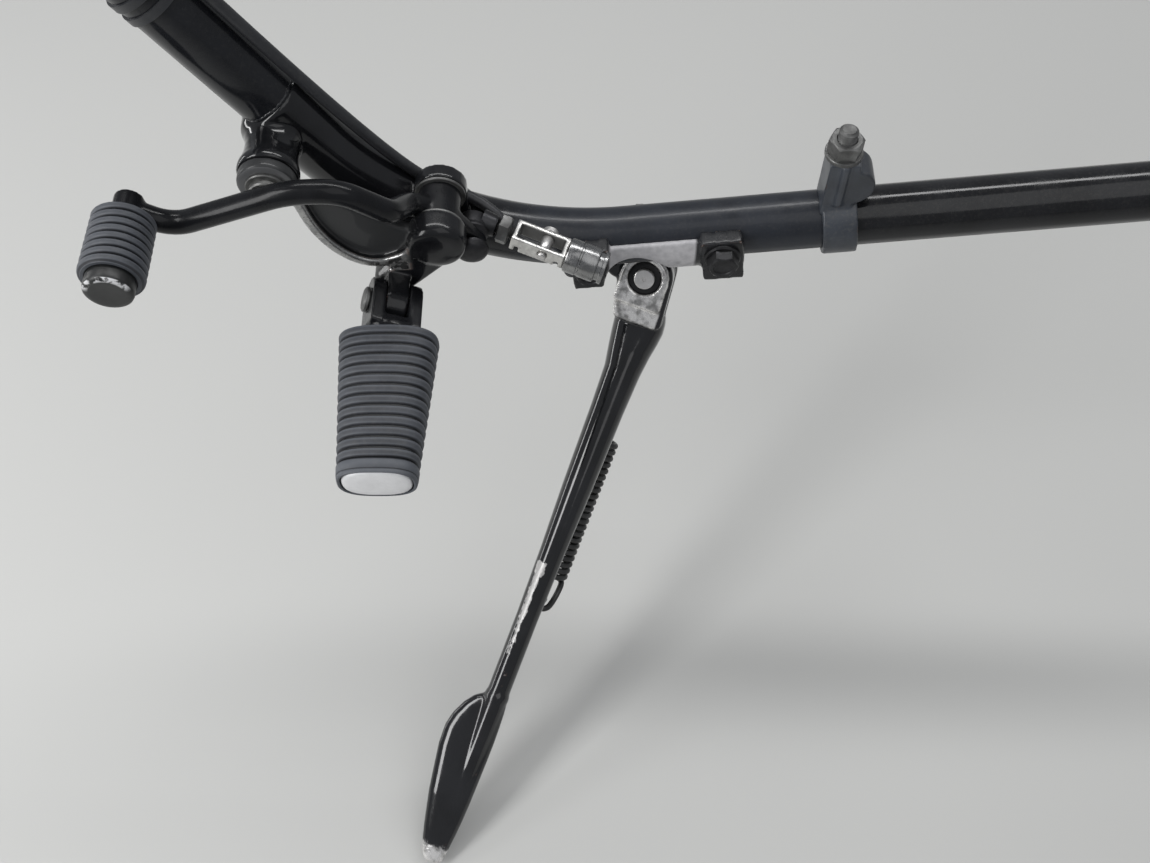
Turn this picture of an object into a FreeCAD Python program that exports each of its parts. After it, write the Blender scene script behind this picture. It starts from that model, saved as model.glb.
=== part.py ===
"""Left lower frame rail of a cruiser motorcycle, with its side stand, folding footrest and gear lever.

Frame: the origin is the middle of the front joint, where two bolts hold the rail to the down tube.
+X points forward along the motorcycle, +Y outboard to its left side and +Z up. Sizes are in millimetres.
Most places are measured from the stand's station, a point beside the rail above the stand's pivot:
forward, outboard and up from there.
"""
import FreeCAD, Part
import math
import os

from FreeCAD import Vector

# The rail tube and its path, which lies in the plane Y = 0
TUBE_D = 25.4
TUBE_WALL = 2.6
DOWN_ANGLE = 58.0
DOWN_LENGTH = 250.0
RAIL_RISE = 7.4
REAR_LENGTH = 372.0
BEND_RADIUS = 130.0
STAND_STATION = 92.6
STATION_RISE = 17.4

# The bolted joints at the two ends of the rail
LUG_THICKNESS = 12.0
LUG_WIDTH = 30.0
LUG_HOLE_D = 10.5
LUG_SPIGOT = 22.0
LUG_NECK = 12.0
LUG_SHOULDER = 4.0
FRONT_BOLT_PITCH = 40.0
REAR_BOLT_PITCH = 36.0

# The engine mount on the rail
MOUNT_STATION = -83.0
COLLAR_WIDTH = 15.0
COLLAR_WALL = 2.8
MOUNT_THICKNESS = 14.0
MOUNT_HEIGHT = 40.0
MOUNT_BACK_R = 10.0
MOUNT_BOLT_D = 8.0
MOUNT_BOLT_FORWARD = 4.0
MOUNT_BOLT_PROUD = 14.0
MOUNT_WASHER_D = 16.0
MOUNT_WASHER = 1.6
MOUNT_NUT_ACROSS = 13.0
MOUNT_NUT = 7.0
MOUNT_POST_FROM = -3.0
MOUNT_POST = 13.0
MOUNT_BACK_DOWN = 14.0
MOUNT_RIB = 3.0
MOUNT_RIB_FROM = 16.0

# The front boss, which carries the footrest bracket
BOSS_FORWARD = 150.6
BOSS_UP = 65.4
BOSS_D = 23.0
BOSS_OUT = 31.0
BOSS_FLARE = 3.0
BOSS_FLARE_FROM = 4.0
BOSS_FLARE_LENGTH = 14.0
BOSS_HOLE_FROM = 8.0
BRACKET_BOLT_D = 8.0
BRACKET_HEAD_D = 12.5
BRACKET_HEAD = 3.0
BRACKET_SOCKET = 6.0
SOCKET_FLOOR = 2.0
BOLT_CLEARANCE = 0.2

# The pivot lug and the stack of lever and bracket on its bolt
PIVOT_FORWARD = 88.0
PIVOT_UP = 32.0
PIVOT_LUG_INNER = 3.5
PIVOT_LUG_THICKNESS = 6.5
PIVOT_BOLT_D = 10.0
PIVOT_LUG_WALL = 6.0
LEVER_BOSS_D = 18.0
LEVER_BOSS_LENGTH = 18.0
STACK_GAP = 0.3
FLANGE = 1.5

# The footrest bracket
BRACKET_PLATE = 5.0
BRACKET_RIM_DEPTH = 9.0
BRACKET_RIM_WIDTH = 5.0
ARM_D = 24.0
ARM_LENGTH = 12.0
ARM_HOLE = 9.0
ARM_FOOT_R = 8.5
ARM_THICKNESS = 10.5
TONGUE_LENGTH = 19.0

# The footrest and the pin it folds on
PIN_FORWARD = 107.8
PIN_OUT = 50.0
PIN_UP = 8.0
PIN_D = 8.0
PIN_CLEARANCE = 0.05
FOLD_TILT = 22.0
TONGUE_THICKNESS = 9.4
EAR_THICKNESS = 5.5
EAR_R = 10.0
EAR_GAP = 0.3
SHANK_D = 13.0
SEAT_FLANGE = 4.0
PIN_RIVET_D = 11.0
PIN_RIVET = 2.0
RUBBER_IN = 68.0
RUBBER_LENGTH = 65.0
RUBBER_WIDE_IN = 41.0
RUBBER_WIDE_OUT = 31.5
RUBBER_HIGH_IN = 26.0
RUBBER_HIGH_OUT = 20.0
RUBBER_RIBS = 13
RIB_DEPTH = 1.6
END_CAP = 3.0
END_CAP_WIDE = 26.0
END_CAP_HIGH = 18.0

# The gear lever
LEVER_D = 9.6
PEG_D = 9.0
PEG_EYE = 11.0
PEG_RUBBER_D = 24.9
PEG_RUBBER_LENGTH = 28.2
PEG_RUBBER_RIBS = 8
PEG_RIB_DEPTH = 1.4
PEG_PLUG_D = 18.9
PEG_PLUG = 6.0
PEG_IN_PLUG = 1.5

# The gear linkage, in one line from the lever's ball joint back to its round housing
LINK_FORWARD = 68.0
LINK_OUT = 14.5
LINK_UP = 17.8
LINK_BALL_FORWARD = 75.3
LINK_BALL_UP = 17.3
LINK_BALL_D = 14.5
LINK_BALL_INNER = 11.0
CRANK_INNER = 21.5
CRANK_THICKNESS = 5.0
LINK_STUD_D = 6.0
LINK_ROD_D = 6.0
LINK_NUT_D = 11.0
FORK_START = 11.0
FORK_LENGTH = 24.0
FORK_ACROSS = 11.5
FORK_HEIGHT = 7.5
FORK_SHEET = 2.0
FORK_PIN_AT = 25.4
FORK_PIN_D = 4.0
PIN_BARREL_D = 5.5
PIN_HEAD_D = 7.0
PIN_HEAD = 2.5
HOUSING_D = 15.0
HOUSING_LENGTH = 14.0
HOUSING_COLLAR = 3.5

# The stand's bracket on the rail
SADDLE_WALL = 3.5
SADDLE_FRONT = 33.0
SADDLE_REAR = -42.0
SADDLE_BLOCK = 18.0
FRONT_BOLT_STATION = 25.0
REAR_BOLT_STATION = -32.5
SADDLE_BOLT_D = 8.0
SADDLE_HEX = 5.0
SADDLE_LIP = 24.0
SADDLE_SKIRT = 12.0
BLOCK_PROUD = 0.8
BLOCK_LOW = 16.0
BLOCK_HIGH = 9.0
TONGUE_EYE_R = 12.6
TONGUE_EYE_THICKNESS = 8.8
TONGUE_LEAN = 197.7
ROOT_START = 15.5
ROOT_END = 31.0
ROOT_WIDTH = 15.0
RELIEF_D = 32.0

# The stand, on its tilted pivot
STAND_FORWARD = -0.5
STAND_OUTBOARD = 3.8
STAND_UP = -33.0
STAND_NORMAL = (0.18, 0.78, 0.60)
STAND_DOWN = (0.2996, 0.5373, -0.7883)
HEAD_R = 13.0
CHEEK_THICKNESS = 8.0
HEAD_CLEARANCE = 0.2
STAND_BOLT_D = 10.0
STAND_BOSS_D = 21.7
STAND_BOSS_BORE = 15.6
STAND_BOSS_HEIGHT = 2.0
PIVOT_NUT = 7.0
PIVOT_THREAD = 2.0
LOBE_FORWARD = 13.5
LOBE_R = 6.2
LOBE_UP = 1.5
FORK_GAP = 3.4
NECK_DOWN = 30.0
NECK_WIDTH = 19.0
LEG_OFFSET = 4.5
LEG_SPLAY = 18.8
LEG_D = 19.2
FOOT_START = 192.0
FOOT_LENGTH = 90.5
FOOT_WIDTH = 26.0
FOOT_THICKNESS = 7.0
FOOT_SEAT = 4.0
RIDGE_LENGTH = 58.0
RIDGE_SUNK = 0.5

# The stand's return spring
SPRING_WIRE = 3.2
SPRING_D = 16.5
SPRING_TURNS = 22
SPRING_PITCH = 3.35
SPRING_START = 86.0
SPRING_SIDE = 1.5
SPRING_BACK = -17.5
SPRING_PEG_AT = 172.0
SPRING_PEG_D = 6.0
PEG_PROUD = 3.0
HOOK_DEPTH = 9.0
HOOK_WIRE = 2.9

# The linkage's lead, which runs along the rail to a connector near the front joint
LEAD_D = 5.0
LEAD_END = 69.0
LEAD_ON_BEND = 94.0
LEAD_RUN_IN = 11.0
LEAD_CLEAR = 1.0
CONNECTOR_LENGTH = 20.0
CONNECTOR_WIDTH = 12.0
CONNECTOR_HEIGHT = 8.0
CLIPS = (74.0, 81.0)
CLIP_WIDTH = 3.5
CLIP_SHEET = 0.9

X_AXIS = Vector(1, 0, 0)
Y_AXIS = Vector(0, 1, 0)
Z_AXIS = Vector(0, 0, 1)
TUBE_R = TUBE_D / 2


def in_side_plane(angle):
    """Unit vector in the plane of the rail, at this angle above forward."""
    turn = math.radians(angle)
    return Vector(math.cos(turn), 0, math.sin(turn))


DOWN_DIRECTION = in_side_plane(DOWN_ANGLE)
RAIL_DIRECTION = in_side_plane(180 - RAIL_RISE)
CORNER = DOWN_DIRECTION * -DOWN_LENGTH
REAR_JOINT = CORNER + RAIL_DIRECTION * REAR_LENGTH
STATION = CORNER + Vector(-STAND_STATION, 0, STATION_RISE)


def at(forward, outboard, up):
    """A place measured from the stand's station."""
    return STATION + Vector(forward, outboard, up)


def on_rail(forward):
    """The point of the rail's axis this far forward of the stand's station."""
    drop = (CORNER.x - (STATION.x + forward)) / -RAIL_DIRECTION.x
    return CORNER + RAIL_DIRECTION * drop


def rail_axis(forward):
    """The point of the rail's axis this far forward of the station, on the straight or on the bend."""
    turn = math.radians(DOWN_ANGLE + RAIL_RISE)
    bend_start = CORNER + RAIL_DIRECTION * (BEND_RADIUS * math.tan(turn / 2))
    x = STATION.x + forward
    if x <= bend_start.x:
        return on_rail(forward)
    centre = bend_start + Y_AXIS.cross(RAIL_DIRECTION) * BEND_RADIUS
    return Vector(x, 0, centre.z - math.sqrt(BEND_RADIUS ** 2 - (x - centre.x) ** 2))


def cylinder(start, direction, diameter, length):
    return Part.makeCylinder(diameter / 2, length, start, direction)


def ring(start, direction, outer, inner, length):
    return cylinder(start, direction, outer, length).cut(cylinder(start, direction, inner, length))


def fused(*shapes):
    """One solid from pieces that meet."""
    whole = shapes[0].multiFuse(list(shapes[1:])) if len(shapes) > 1 else shapes[0]
    return whole.removeSplitter()


def placed(shape, origin, along_x, along_z):
    """The shape, made at the origin, moved so that its X and Z point these ways."""
    along_y = along_z.cross(along_x)
    turned = FreeCAD.Rotation(along_x, along_y, along_z, "ZXY")
    shape = shape.copy()
    shape.Placement = FreeCAD.Placement(origin, turned)
    return shape


def prism(outline, thickness):
    """A closed outline of (x, y) points in the XY plane, raised along Z."""
    points = [Vector(x, y, 0) for x, y in outline]
    face = Part.Face(Part.makePolygon(points + points[:1]))
    return face.extrude(Z_AXIS * thickness)


def turned_profile(profile, start, direction):
    """A solid of revolution from (distance along, radius) points, closed on its axis."""
    points = [Vector(r, 0, z) for z, r in profile]
    points = [Vector(0, 0, profile[0][0])] + points + [Vector(0, 0, profile[-1][0])]
    clean = [points[0]]
    for point in points[1:]:
        if point.distanceToPoint(clean[-1]) > 1e-6:
            clean.append(point)
    face = Part.Face(Part.makePolygon(clean + clean[:1]))
    solid = face.revolve(Vector(0, 0, 0), Z_AXIS, 360)
    side = X_AXIS if abs(direction.x) < 0.9 else Y_AXIS
    along_x = side.cross(direction).normalize()
    return placed(solid, start, along_x, direction)


def oval(width, height):
    """A wire of two half rounds and two flats, width along X and height along Y."""
    r = height / 2
    half = width / 2 - r
    right = Part.Arc(Vector(half, -r, 0), Vector(half + r, 0, 0), Vector(half, r, 0))
    left = Part.Arc(Vector(-half, r, 0), Vector(-half - r, 0, 0), Vector(-half, -r, 0))
    top = Part.LineSegment(Vector(half, r, 0), Vector(-half, r, 0))
    bottom = Part.LineSegment(Vector(-half, -r, 0), Vector(half, -r, 0))
    return Part.Wire([right.toShape(), top.toShape(), left.toShape(), bottom.toShape()])


def bent_bar(points, bend, diameter):
    """A round bar along straight runs, with an arc of this radius at each turn."""
    pieces = []
    start = points[0]
    for i in range(1, len(points) - 1):
        into = (points[i] - points[i - 1]).normalize()
        out = (points[i + 1] - points[i]).normalize()
        turn = into.getAngle(out)
        if turn < 1e-4:
            continue
        radius = bend[i - 1] if isinstance(bend, list) else bend
        reach = radius * math.tan(turn / 2)
        first = points[i] - into * reach
        if first.distanceToPoint(start) > 1e-4:
            pieces.append(cylinder(start, into, diameter, first.distanceToPoint(start)))
        axis = into.cross(out).normalize()
        centre = first + axis.cross(into) * radius
        disc = Part.Face(Part.Wire(Part.makeCircle(diameter / 2, first, into)))
        pieces.append(disc.revolve(centre, axis, math.degrees(turn)))
        start = points[i] + out * reach
    last = (points[-1] - points[-2]).normalize()
    pieces.append(cylinder(start, last, diameter, points[-1].distanceToPoint(start)))
    return fused(*pieces)


def loop(centre, axis, hole, wire):
    """A round eye of wire with this hole; the wire's section has eight sides."""
    middle = (hole + wire) / 2
    corner = wire / 2 / math.cos(math.radians(22.5))
    section = [Vector(middle + corner * math.cos(math.radians(22.5 + 45 * i)), 0,
                      corner * math.sin(math.radians(22.5 + 45 * i))) for i in range(8)]
    eye = Part.Face(Part.makePolygon(section + section[:1])).revolve(Vector(0, 0, 0), Z_AXIS, 360)
    side = X_AXIS if abs(axis.x) < 0.9 else Y_AXIS
    return placed(eye, centre, side.cross(axis).normalize(), axis)


def rod_between(start, end, diameter):
    return cylinder(start, (end - start).normalize(), diameter, end.distanceToPoint(start))


def tapered_plate(place, first, first_r, second, second_r, thickness):
    """A plate round two circles in the side plane, first and second being (forward, up) from the place."""
    apart = math.hypot(second[0] - first[0], second[1] - first[1])
    heading = math.atan2(second[1] - first[1], second[0] - first[0])
    open_angle = math.acos((first_r - second_r) / apart)
    corners = []
    for centre, r, side in ((first, first_r, 1), (second, second_r, 1), (second, second_r, -1), (first, first_r, -1)):
        turn = heading + side * open_angle
        corners.append((centre[0] + r * math.cos(turn), centre[1] + r * math.sin(turn)))
    web = placed(prism([(x, -z) for x, z in corners], thickness), place, X_AXIS, Y_AXIS)
    discs = [cylinder(place + Vector(x, 0, z), Y_AXIS, 2 * r, thickness)
             for (x, z), r in ((first, first_r), (second, second_r))]
    return fused(web, *discs)


def hex_head(start, direction, across, height):
    """A hexagonal bolt head or nut, this wide across its flats."""
    corner = across / math.sqrt(3)
    outline = [(corner * math.cos(math.radians(60 * i)), corner * math.sin(math.radians(60 * i)))
               for i in range(6)]
    side = X_AXIS if abs(direction.x) < 0.9 else Y_AXIS
    return placed(prism(outline, height), start, side.cross(direction).normalize(), direction)


# Sizes that follow from the ones above
LUG_REACH = FRONT_BOLT_PITCH / 2 + LUG_WIDTH / 2
REAR_REACH = REAR_BOLT_PITCH / 2 + LUG_WIDTH / 2
EYE_OUTER = BOSS_OUT + BRACKET_PLATE
BLOCK_OUT = TUBE_R + SADDLE_WALL + BLOCK_PROUD
LEVER_INNER = PIVOT_LUG_INNER + PIVOT_LUG_THICKNESS + STACK_GAP
LEVER_OUTER = LEVER_INNER + LEVER_BOSS_LENGTH
ARM_INNER = LEVER_OUTER + STACK_GAP
FOLD_AXIS = in_side_plane(FOLD_TILT)
FORK_WIDTH = TONGUE_THICKNESS + 2 * (EAR_GAP + EAR_THICKNESS)
PIN = at(PIN_FORWARD, PIN_OUT, PIN_UP)
LEAD_OFF = TUBE_R + LEAD_D / 2 + LEAD_CLEAR
LINK_START = at(LINK_FORWARD, LINK_OUT, LINK_UP)
LINK_RUN = Vector(-41.0, 13.0, -8.8).normalize()
LINK_ACROSS = (Y_AXIS - LINK_RUN * LINK_RUN.y).normalize()
FRONT_SADDLE_BOLT = rail_axis(FRONT_BOLT_STATION)
REAR_SADDLE_BOLT = rail_axis(REAR_BOLT_STATION)
STAND_OUTER = at(STAND_FORWARD, STAND_OUTBOARD, STAND_UP)
STAND_AXIS = Vector(*STAND_NORMAL).normalize()
STAND_SWING = (Vector(*STAND_DOWN) - STAND_AXIS * STAND_AXIS.dot(Vector(*STAND_DOWN))).normalize()
STAND_BACK = STAND_AXIS.cross(STAND_SWING)
EYE_MIDDLE = CHEEK_THICKNESS + HEAD_CLEARANCE + TONGUE_EYE_THICKNESS / 2
HEAD_DEPTH = 2 * EYE_MIDDLE


# The rail

def rail_bar(diameter):
    """A solid bar along the rail's path, between the necks of its two lugs."""
    front = DOWN_DIRECTION * -(LUG_REACH + LUG_NECK)
    rear = REAR_JOINT - RAIL_DIRECTION * (REAR_REACH + LUG_NECK)
    return bent_bar([front, CORNER, rear], BEND_RADIUS, diameter)


def frame_rail():
    """The bent tube, open inside, with its boss, pivot lug and the crossing holes for the bolts."""
    tube = rail_bar(TUBE_D)
    bore = rail_bar(TUBE_D - 2 * TUBE_WALL)
    boss = cylinder(at(BOSS_FORWARD, 0, BOSS_UP), Y_AXIS, BOSS_D, BOSS_OUT)
    flare = Part.makeCone(BOSS_D / 2 + BOSS_FLARE, BOSS_D / 2, BOSS_FLARE_LENGTH,
                          at(BOSS_FORWARD, BOSS_FLARE_FROM, BOSS_UP), Y_AXIS)
    lug = pivot_lug()
    rail = fused(tube, boss, flare, lug).cut(bore)
    thread = cylinder(at(BOSS_FORWARD, BOSS_HOLE_FROM, BOSS_UP), Y_AXIS, BRACKET_BOLT_D, BOSS_OUT)
    rail = rail.cut(thread)
    for place in (FRONT_SADDLE_BOLT, REAR_SADDLE_BOLT):
        rail = rail.cut(cylinder(place - Y_AXIS * TUBE_D, Y_AXIS, SADDLE_BOLT_D + 2 * BOLT_CLEARANCE,
                                 2 * TUBE_D))
    return rail


def pivot_lug():
    """The tab welded on top of the rail that holds the lever's pivot bolt."""
    centre = at(PIVOT_FORWARD, PIVOT_LUG_INNER, PIVOT_UP)
    head_r = PIVOT_BOLT_D / 2 + PIVOT_LUG_WALL
    eye = cylinder(centre, Y_AXIS, 2 * head_r, PIVOT_LUG_THICKNESS)
    web = Part.makeBox(2 * head_r, PIVOT_LUG_THICKNESS, PIVOT_UP,
                       centre - Vector(head_r, 0, PIVOT_UP))
    hole = cylinder(centre - Y_AXIS, Y_AXIS, PIVOT_BOLT_D + 2 * BOLT_CLEARANCE, PIVOT_LUG_THICKNESS + 2)
    return fused(eye, web).cut(hole)


def joint_lug(centre, direction, pitch, reach):
    """A forged lug with two bolt holes; its spigot is pressed in the tube end beyond it."""
    flat = Part.makeBox(pitch, LUG_WIDTH, LUG_THICKNESS, Vector(-pitch / 2, -LUG_WIDTH / 2, -LUG_THICKNESS / 2))
    shape = flat
    for side in (-1, 1):
        end = Part.makeCylinder(LUG_WIDTH / 2, LUG_THICKNESS, Vector(side * pitch / 2, 0, -LUG_THICKNESS / 2))
        shape = shape.fuse(end)
    neck = Part.makeLoft([
        Part.Wire(Part.makeCircle(TUBE_R, Vector(-reach - LUG_NECK, 0, 0), X_AXIS)),
        placed(oval(LUG_WIDTH - LUG_SHOULDER, LUG_THICKNESS), Vector(-reach + LUG_SHOULDER, 0, 0), Y_AXIS,
               X_AXIS)], True, True)
    spigot = cylinder(Vector(-reach - LUG_NECK - LUG_SPIGOT, 0, 0), X_AXIS,
                      TUBE_D - 2 * TUBE_WALL, LUG_SPIGOT)
    shape = fused(shape, neck, spigot)
    for side in (-1, 1):
        hole = Part.makeCylinder(LUG_HOLE_D / 2, 2 * LUG_THICKNESS,
                                 Vector(side * pitch / 2, 0, -LUG_THICKNESS))
        shape = shape.cut(hole)
    return placed(shape, centre, direction, Y_AXIS)


def engine_mount():
    """The collar round the rail and the upright lug that the engine bolts to."""
    centre = on_rail(MOUNT_STATION)
    forward = RAIL_DIRECTION * -1
    collar = ring(centre - forward * COLLAR_WIDTH / 2, forward, TUBE_D + 2 * COLLAR_WALL, TUBE_D,
                  COLLAR_WIDTH)
    base = centre + Vector(MOUNT_POST_FROM, -MOUNT_THICKNESS / 2, 0)
    post = Part.makeBox(MOUNT_POST, MOUNT_THICKNESS, MOUNT_HEIGHT, base)
    back = cylinder(centre + Vector(-1, -MOUNT_THICKNESS / 2, MOUNT_HEIGHT - MOUNT_BACK_DOWN), Y_AXIS,
                    2 * MOUNT_BACK_R, MOUNT_THICKNESS)
    rib = Part.makeBox(MOUNT_RIB, MOUNT_RIB, MOUNT_HEIGHT - MOUNT_RIB_FROM,
                       centre + Vector(2, MOUNT_THICKNESS / 2 - 1, MOUNT_RIB_FROM))
    lug = fused(post, back, rib).cut(cylinder(centre - forward * 40, forward, TUBE_D, 80))
    hole = cylinder(mount_bolt_foot(), Z_AXIS, MOUNT_BOLT_D + 2 * BOLT_CLEARANCE, MOUNT_HEIGHT)
    return fused(collar, lug).cut(hole)


def mount_bolt_foot():
    return on_rail(MOUNT_STATION) + Vector(MOUNT_BOLT_FORWARD, 0, TUBE_R + 4)


def engine_mount_bolt():
    """The stud, washer and nut on top of the engine mount."""
    top = on_rail(MOUNT_STATION) + Vector(MOUNT_BOLT_FORWARD, 0, MOUNT_HEIGHT)
    foot = mount_bolt_foot()
    stud = cylinder(foot, Z_AXIS, MOUNT_BOLT_D, top.z - foot.z + MOUNT_BOLT_PROUD)
    washer = cylinder(top, Z_AXIS, MOUNT_WASHER_D, MOUNT_WASHER)
    nut = hex_head(top + Z_AXIS * MOUNT_WASHER, Z_AXIS, MOUNT_NUT_ACROSS, MOUNT_NUT)
    return fused(stud, washer, nut)


# The footrest bracket, gear lever and linkage

# The outer edge of the bracket's web, from under the front eye round to the arm
RIM_ROUTE = (  # forward, up
    (139.0, 60.0),
    (134.5, 43.0),
    (126.0, 29.0),
    (115.0, 22.5),
    (104.0, 26.0),
    (94.0, 33.0),
)


def footrest_bracket():
    """The forged bracket: front eye, webbed plate with a rim, and the arm to the footrest's tongue."""
    inner = BOSS_OUT
    eye_place = at(BOSS_FORWARD, inner, BOSS_UP)
    eye = cylinder(eye_place, Y_AXIS, BOSS_D, BRACKET_PLATE)
    outline = list(RIM_ROUTE)
    outline += [(PIVOT_FORWARD + 8, PIVOT_UP + 5), (BOSS_FORWARD - 12, BOSS_UP - 1),
                (BOSS_FORWARD, BOSS_UP + 9), (BOSS_FORWARD, BOSS_UP - 10)]
    plate = placed(prism([(x, -z) for x, z in outline], BRACKET_PLATE), at(0, inner, 0), X_AXIS, Y_AXIS)
    rim = rim_bar(inner)
    arm_place = at(PIVOT_FORWARD, ARM_INNER, PIVOT_UP)
    arm = cylinder(arm_place, Y_AXIS, ARM_D, ARM_LENGTH)
    reach = footrest_arm()
    tongue = footrest_tongue()
    bracket = fused(eye, plate, rim, arm, reach, tongue)
    for place, size, depth in ((eye_place, BRACKET_BOLT_D, BRACKET_PLATE + 1),
                               (arm_place, PIVOT_BOLT_D, ARM_HOLE)):
        bracket = bracket.cut(cylinder(place - Y_AXIS, Y_AXIS, size + 2 * BOLT_CLEARANCE, depth + 1))
    bracket = bracket.cut(cylinder(PIN - FOLD_AXIS * FORK_WIDTH, FOLD_AXIS, PIN_D + 2 * PIN_CLEARANCE,
                                   2 * FORK_WIDTH))
    return bracket


def rim_bar(inner):
    """The raised rim, a square bar round the web's outer edge."""
    pieces = []
    for (x0, z0), (x1, z1) in zip(RIM_ROUTE, RIM_ROUTE[1:]):
        start = at(x0, inner, z0)
        run = at(x1, inner, z1) - start
        length = run.Length
        run.normalize()
        bar = Part.makeBox(length, BRACKET_RIM_WIDTH, BRACKET_RIM_DEPTH,
                           Vector(0, -BRACKET_RIM_WIDTH / 2, 0))
        pieces.append(placed(bar, start, run, Y_AXIS))
    for x, z in RIM_ROUTE:
        pieces.append(cylinder(at(x, inner, z), Y_AXIS, BRACKET_RIM_WIDTH, BRACKET_RIM_DEPTH))
    return fused(*pieces)


def footrest_arm():
    """The thick arm, tapering from the pivot bolt down to the footrest's tongue."""
    place = at(0, ARM_INNER, 0)
    return tapered_plate(place, (PIVOT_FORWARD, PIVOT_UP), ARM_D / 2 - 1, (PIN_FORWARD, PIN_UP), ARM_FOOT_R,
                         ARM_THICKNESS)


def footrest_tongue():
    """The flat tongue and eye between the footrest's ears."""
    high = 2 * EAR_R - 2
    eye = cylinder(PIN - FOLD_AXIS * (TONGUE_THICKNESS / 2), FOLD_AXIS, high, TONGUE_THICKNESS)
    block = Part.makeBox(TONGUE_THICKNESS, TONGUE_LENGTH, high,
                         Vector(-TONGUE_THICKNESS / 2, -TONGUE_LENGTH, -high / 2))
    return fused(eye, placed(block, PIN, FOLD_AXIS, FOLD_AXIS.cross(Y_AXIS)))


def bracket_bolt():
    """The bolt in the bracket's front eye, with its flanged head."""
    place = at(BOSS_FORWARD, EYE_OUTER, BOSS_UP)
    foot = BOSS_HOLE_FROM + 1
    shank = cylinder(at(BOSS_FORWARD, foot, BOSS_UP), Y_AXIS, BRACKET_BOLT_D, EYE_OUTER - foot)
    flange = cylinder(place, Y_AXIS, 2 * BRACKET_BOLT_D, FLANGE)
    head = cylinder(place + Y_AXIS * FLANGE, Y_AXIS, BRACKET_HEAD_D, BRACKET_HEAD)
    socket = hex_head(place + Y_AXIS * SOCKET_FLOOR, Y_AXIS, BRACKET_SOCKET, BRACKET_HEAD)
    return fused(shank, flange, head).cut(socket)


def pivot_bolt():
    """The bolt that the gear lever turns on, from the lug out into the bracket's arm."""
    return cylinder(at(PIVOT_FORWARD, PIVOT_LUG_INNER, PIVOT_UP), Y_AXIS, PIVOT_BOLT_D,
                    ARM_INNER + ARM_HOLE - PIVOT_LUG_INNER)


# The gear lever's arm, from its pivot boss forward to the peg
LEVER_ROUTE = (  # forward, outboard, up, bend radius
    (90.5, 19.5, 34.5, 0.0),
    (99.0, 25.5, 43.5, 12.0),
    (103.5, 42.0, 57.5, 12.0),
    (120.0, 46.5, 74.5, 16.0),
    (139.0, 46.5, 74.5, 50.0),
    (187.5, 46.5, 55.1, 16.0),
    (202.5, 46.5, 64.5, 0.0),
)


def lever_tip():
    """The middle of the eye that carries the lever's peg."""
    forward, outboard, up, bend = LEVER_ROUTE[-1]
    return at(forward, outboard, up)


def gear_lever():
    """The lever: pivot boss, bent arm, crank for the linkage and the peg for its rubber."""
    boss = cylinder(at(PIVOT_FORWARD, LEVER_INNER, PIVOT_UP), Y_AXIS, LEVER_BOSS_D, LEVER_BOSS_LENGTH)
    arm = bent_bar([at(x, y, z) for x, y, z, bend in LEVER_ROUTE],
                   [bend for x, y, z, bend in LEVER_ROUTE[1:]], LEVER_D)
    tip = lever_tip()
    peg = cylinder(tip, Y_AXIS, PEG_D, PEG_EYE / 2 + PEG_RUBBER_LENGTH + 2 * STACK_GAP)
    end = cylinder(tip - Y_AXIS * PEG_EYE / 2, Y_AXIS, LEVER_D + 2, PEG_EYE)
    crank = crank_arm()
    hole = cylinder(at(PIVOT_FORWARD, 0, PIVOT_UP), Y_AXIS, PIVOT_BOLT_D + 2 * BOLT_CLEARANCE, 60)
    return fused(boss, arm, peg, end, crank).cut(hole)


def crank_arm():
    """The short plate from the pivot boss to the linkage's ball joint."""
    plate = tapered_plate(at(0, CRANK_INNER, 0), (PIVOT_FORWARD, PIVOT_UP), LEVER_BOSS_D / 2,
                          (LINK_BALL_FORWARD, LINK_BALL_UP), LINK_BALL_D / 2 - 1, CRANK_THICKNESS)
    return plate.cut(cylinder(at(LINK_BALL_FORWARD, 0, LINK_BALL_UP), Y_AXIS, LINK_STUD_D + 0.4, 60))


def lever_rubber():
    """The ribbed rubber on the lever's peg."""
    start = lever_tip() + Y_AXIS * (PEG_EYE / 2 + STACK_GAP)
    pitch = PEG_RUBBER_LENGTH / PEG_RUBBER_RIBS
    top = PEG_RUBBER_D / 2
    low = top - PEG_RIB_DEPTH
    profile = []
    for i in range(PEG_RUBBER_RIBS):
        y = i * pitch
        profile += [(y, low), (y + 0.15 * pitch, top), (y + 0.6 * pitch, top), (y + 0.75 * pitch, low)]
    profile.append((PEG_RUBBER_LENGTH, low))
    body = turned_profile(profile, start, Y_AXIS)
    return body.cut(cylinder(start - Y_AXIS, Y_AXIS, PEG_D, PEG_RUBBER_LENGTH + 2))


def lever_end_plate():
    """The worn plug that closes the rubber's outer end."""
    start = lever_tip() + Y_AXIS * (PEG_EYE / 2 + PEG_RUBBER_LENGTH + 2 * STACK_GAP)
    r = PEG_PLUG_D / 2
    return turned_profile([(0, r), (PEG_PLUG - PEG_IN_PLUG, r), (PEG_PLUG, r - PEG_IN_PLUG)], start, Y_AXIS)


def link_place(along):
    return LINK_START + LINK_RUN * along


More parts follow.
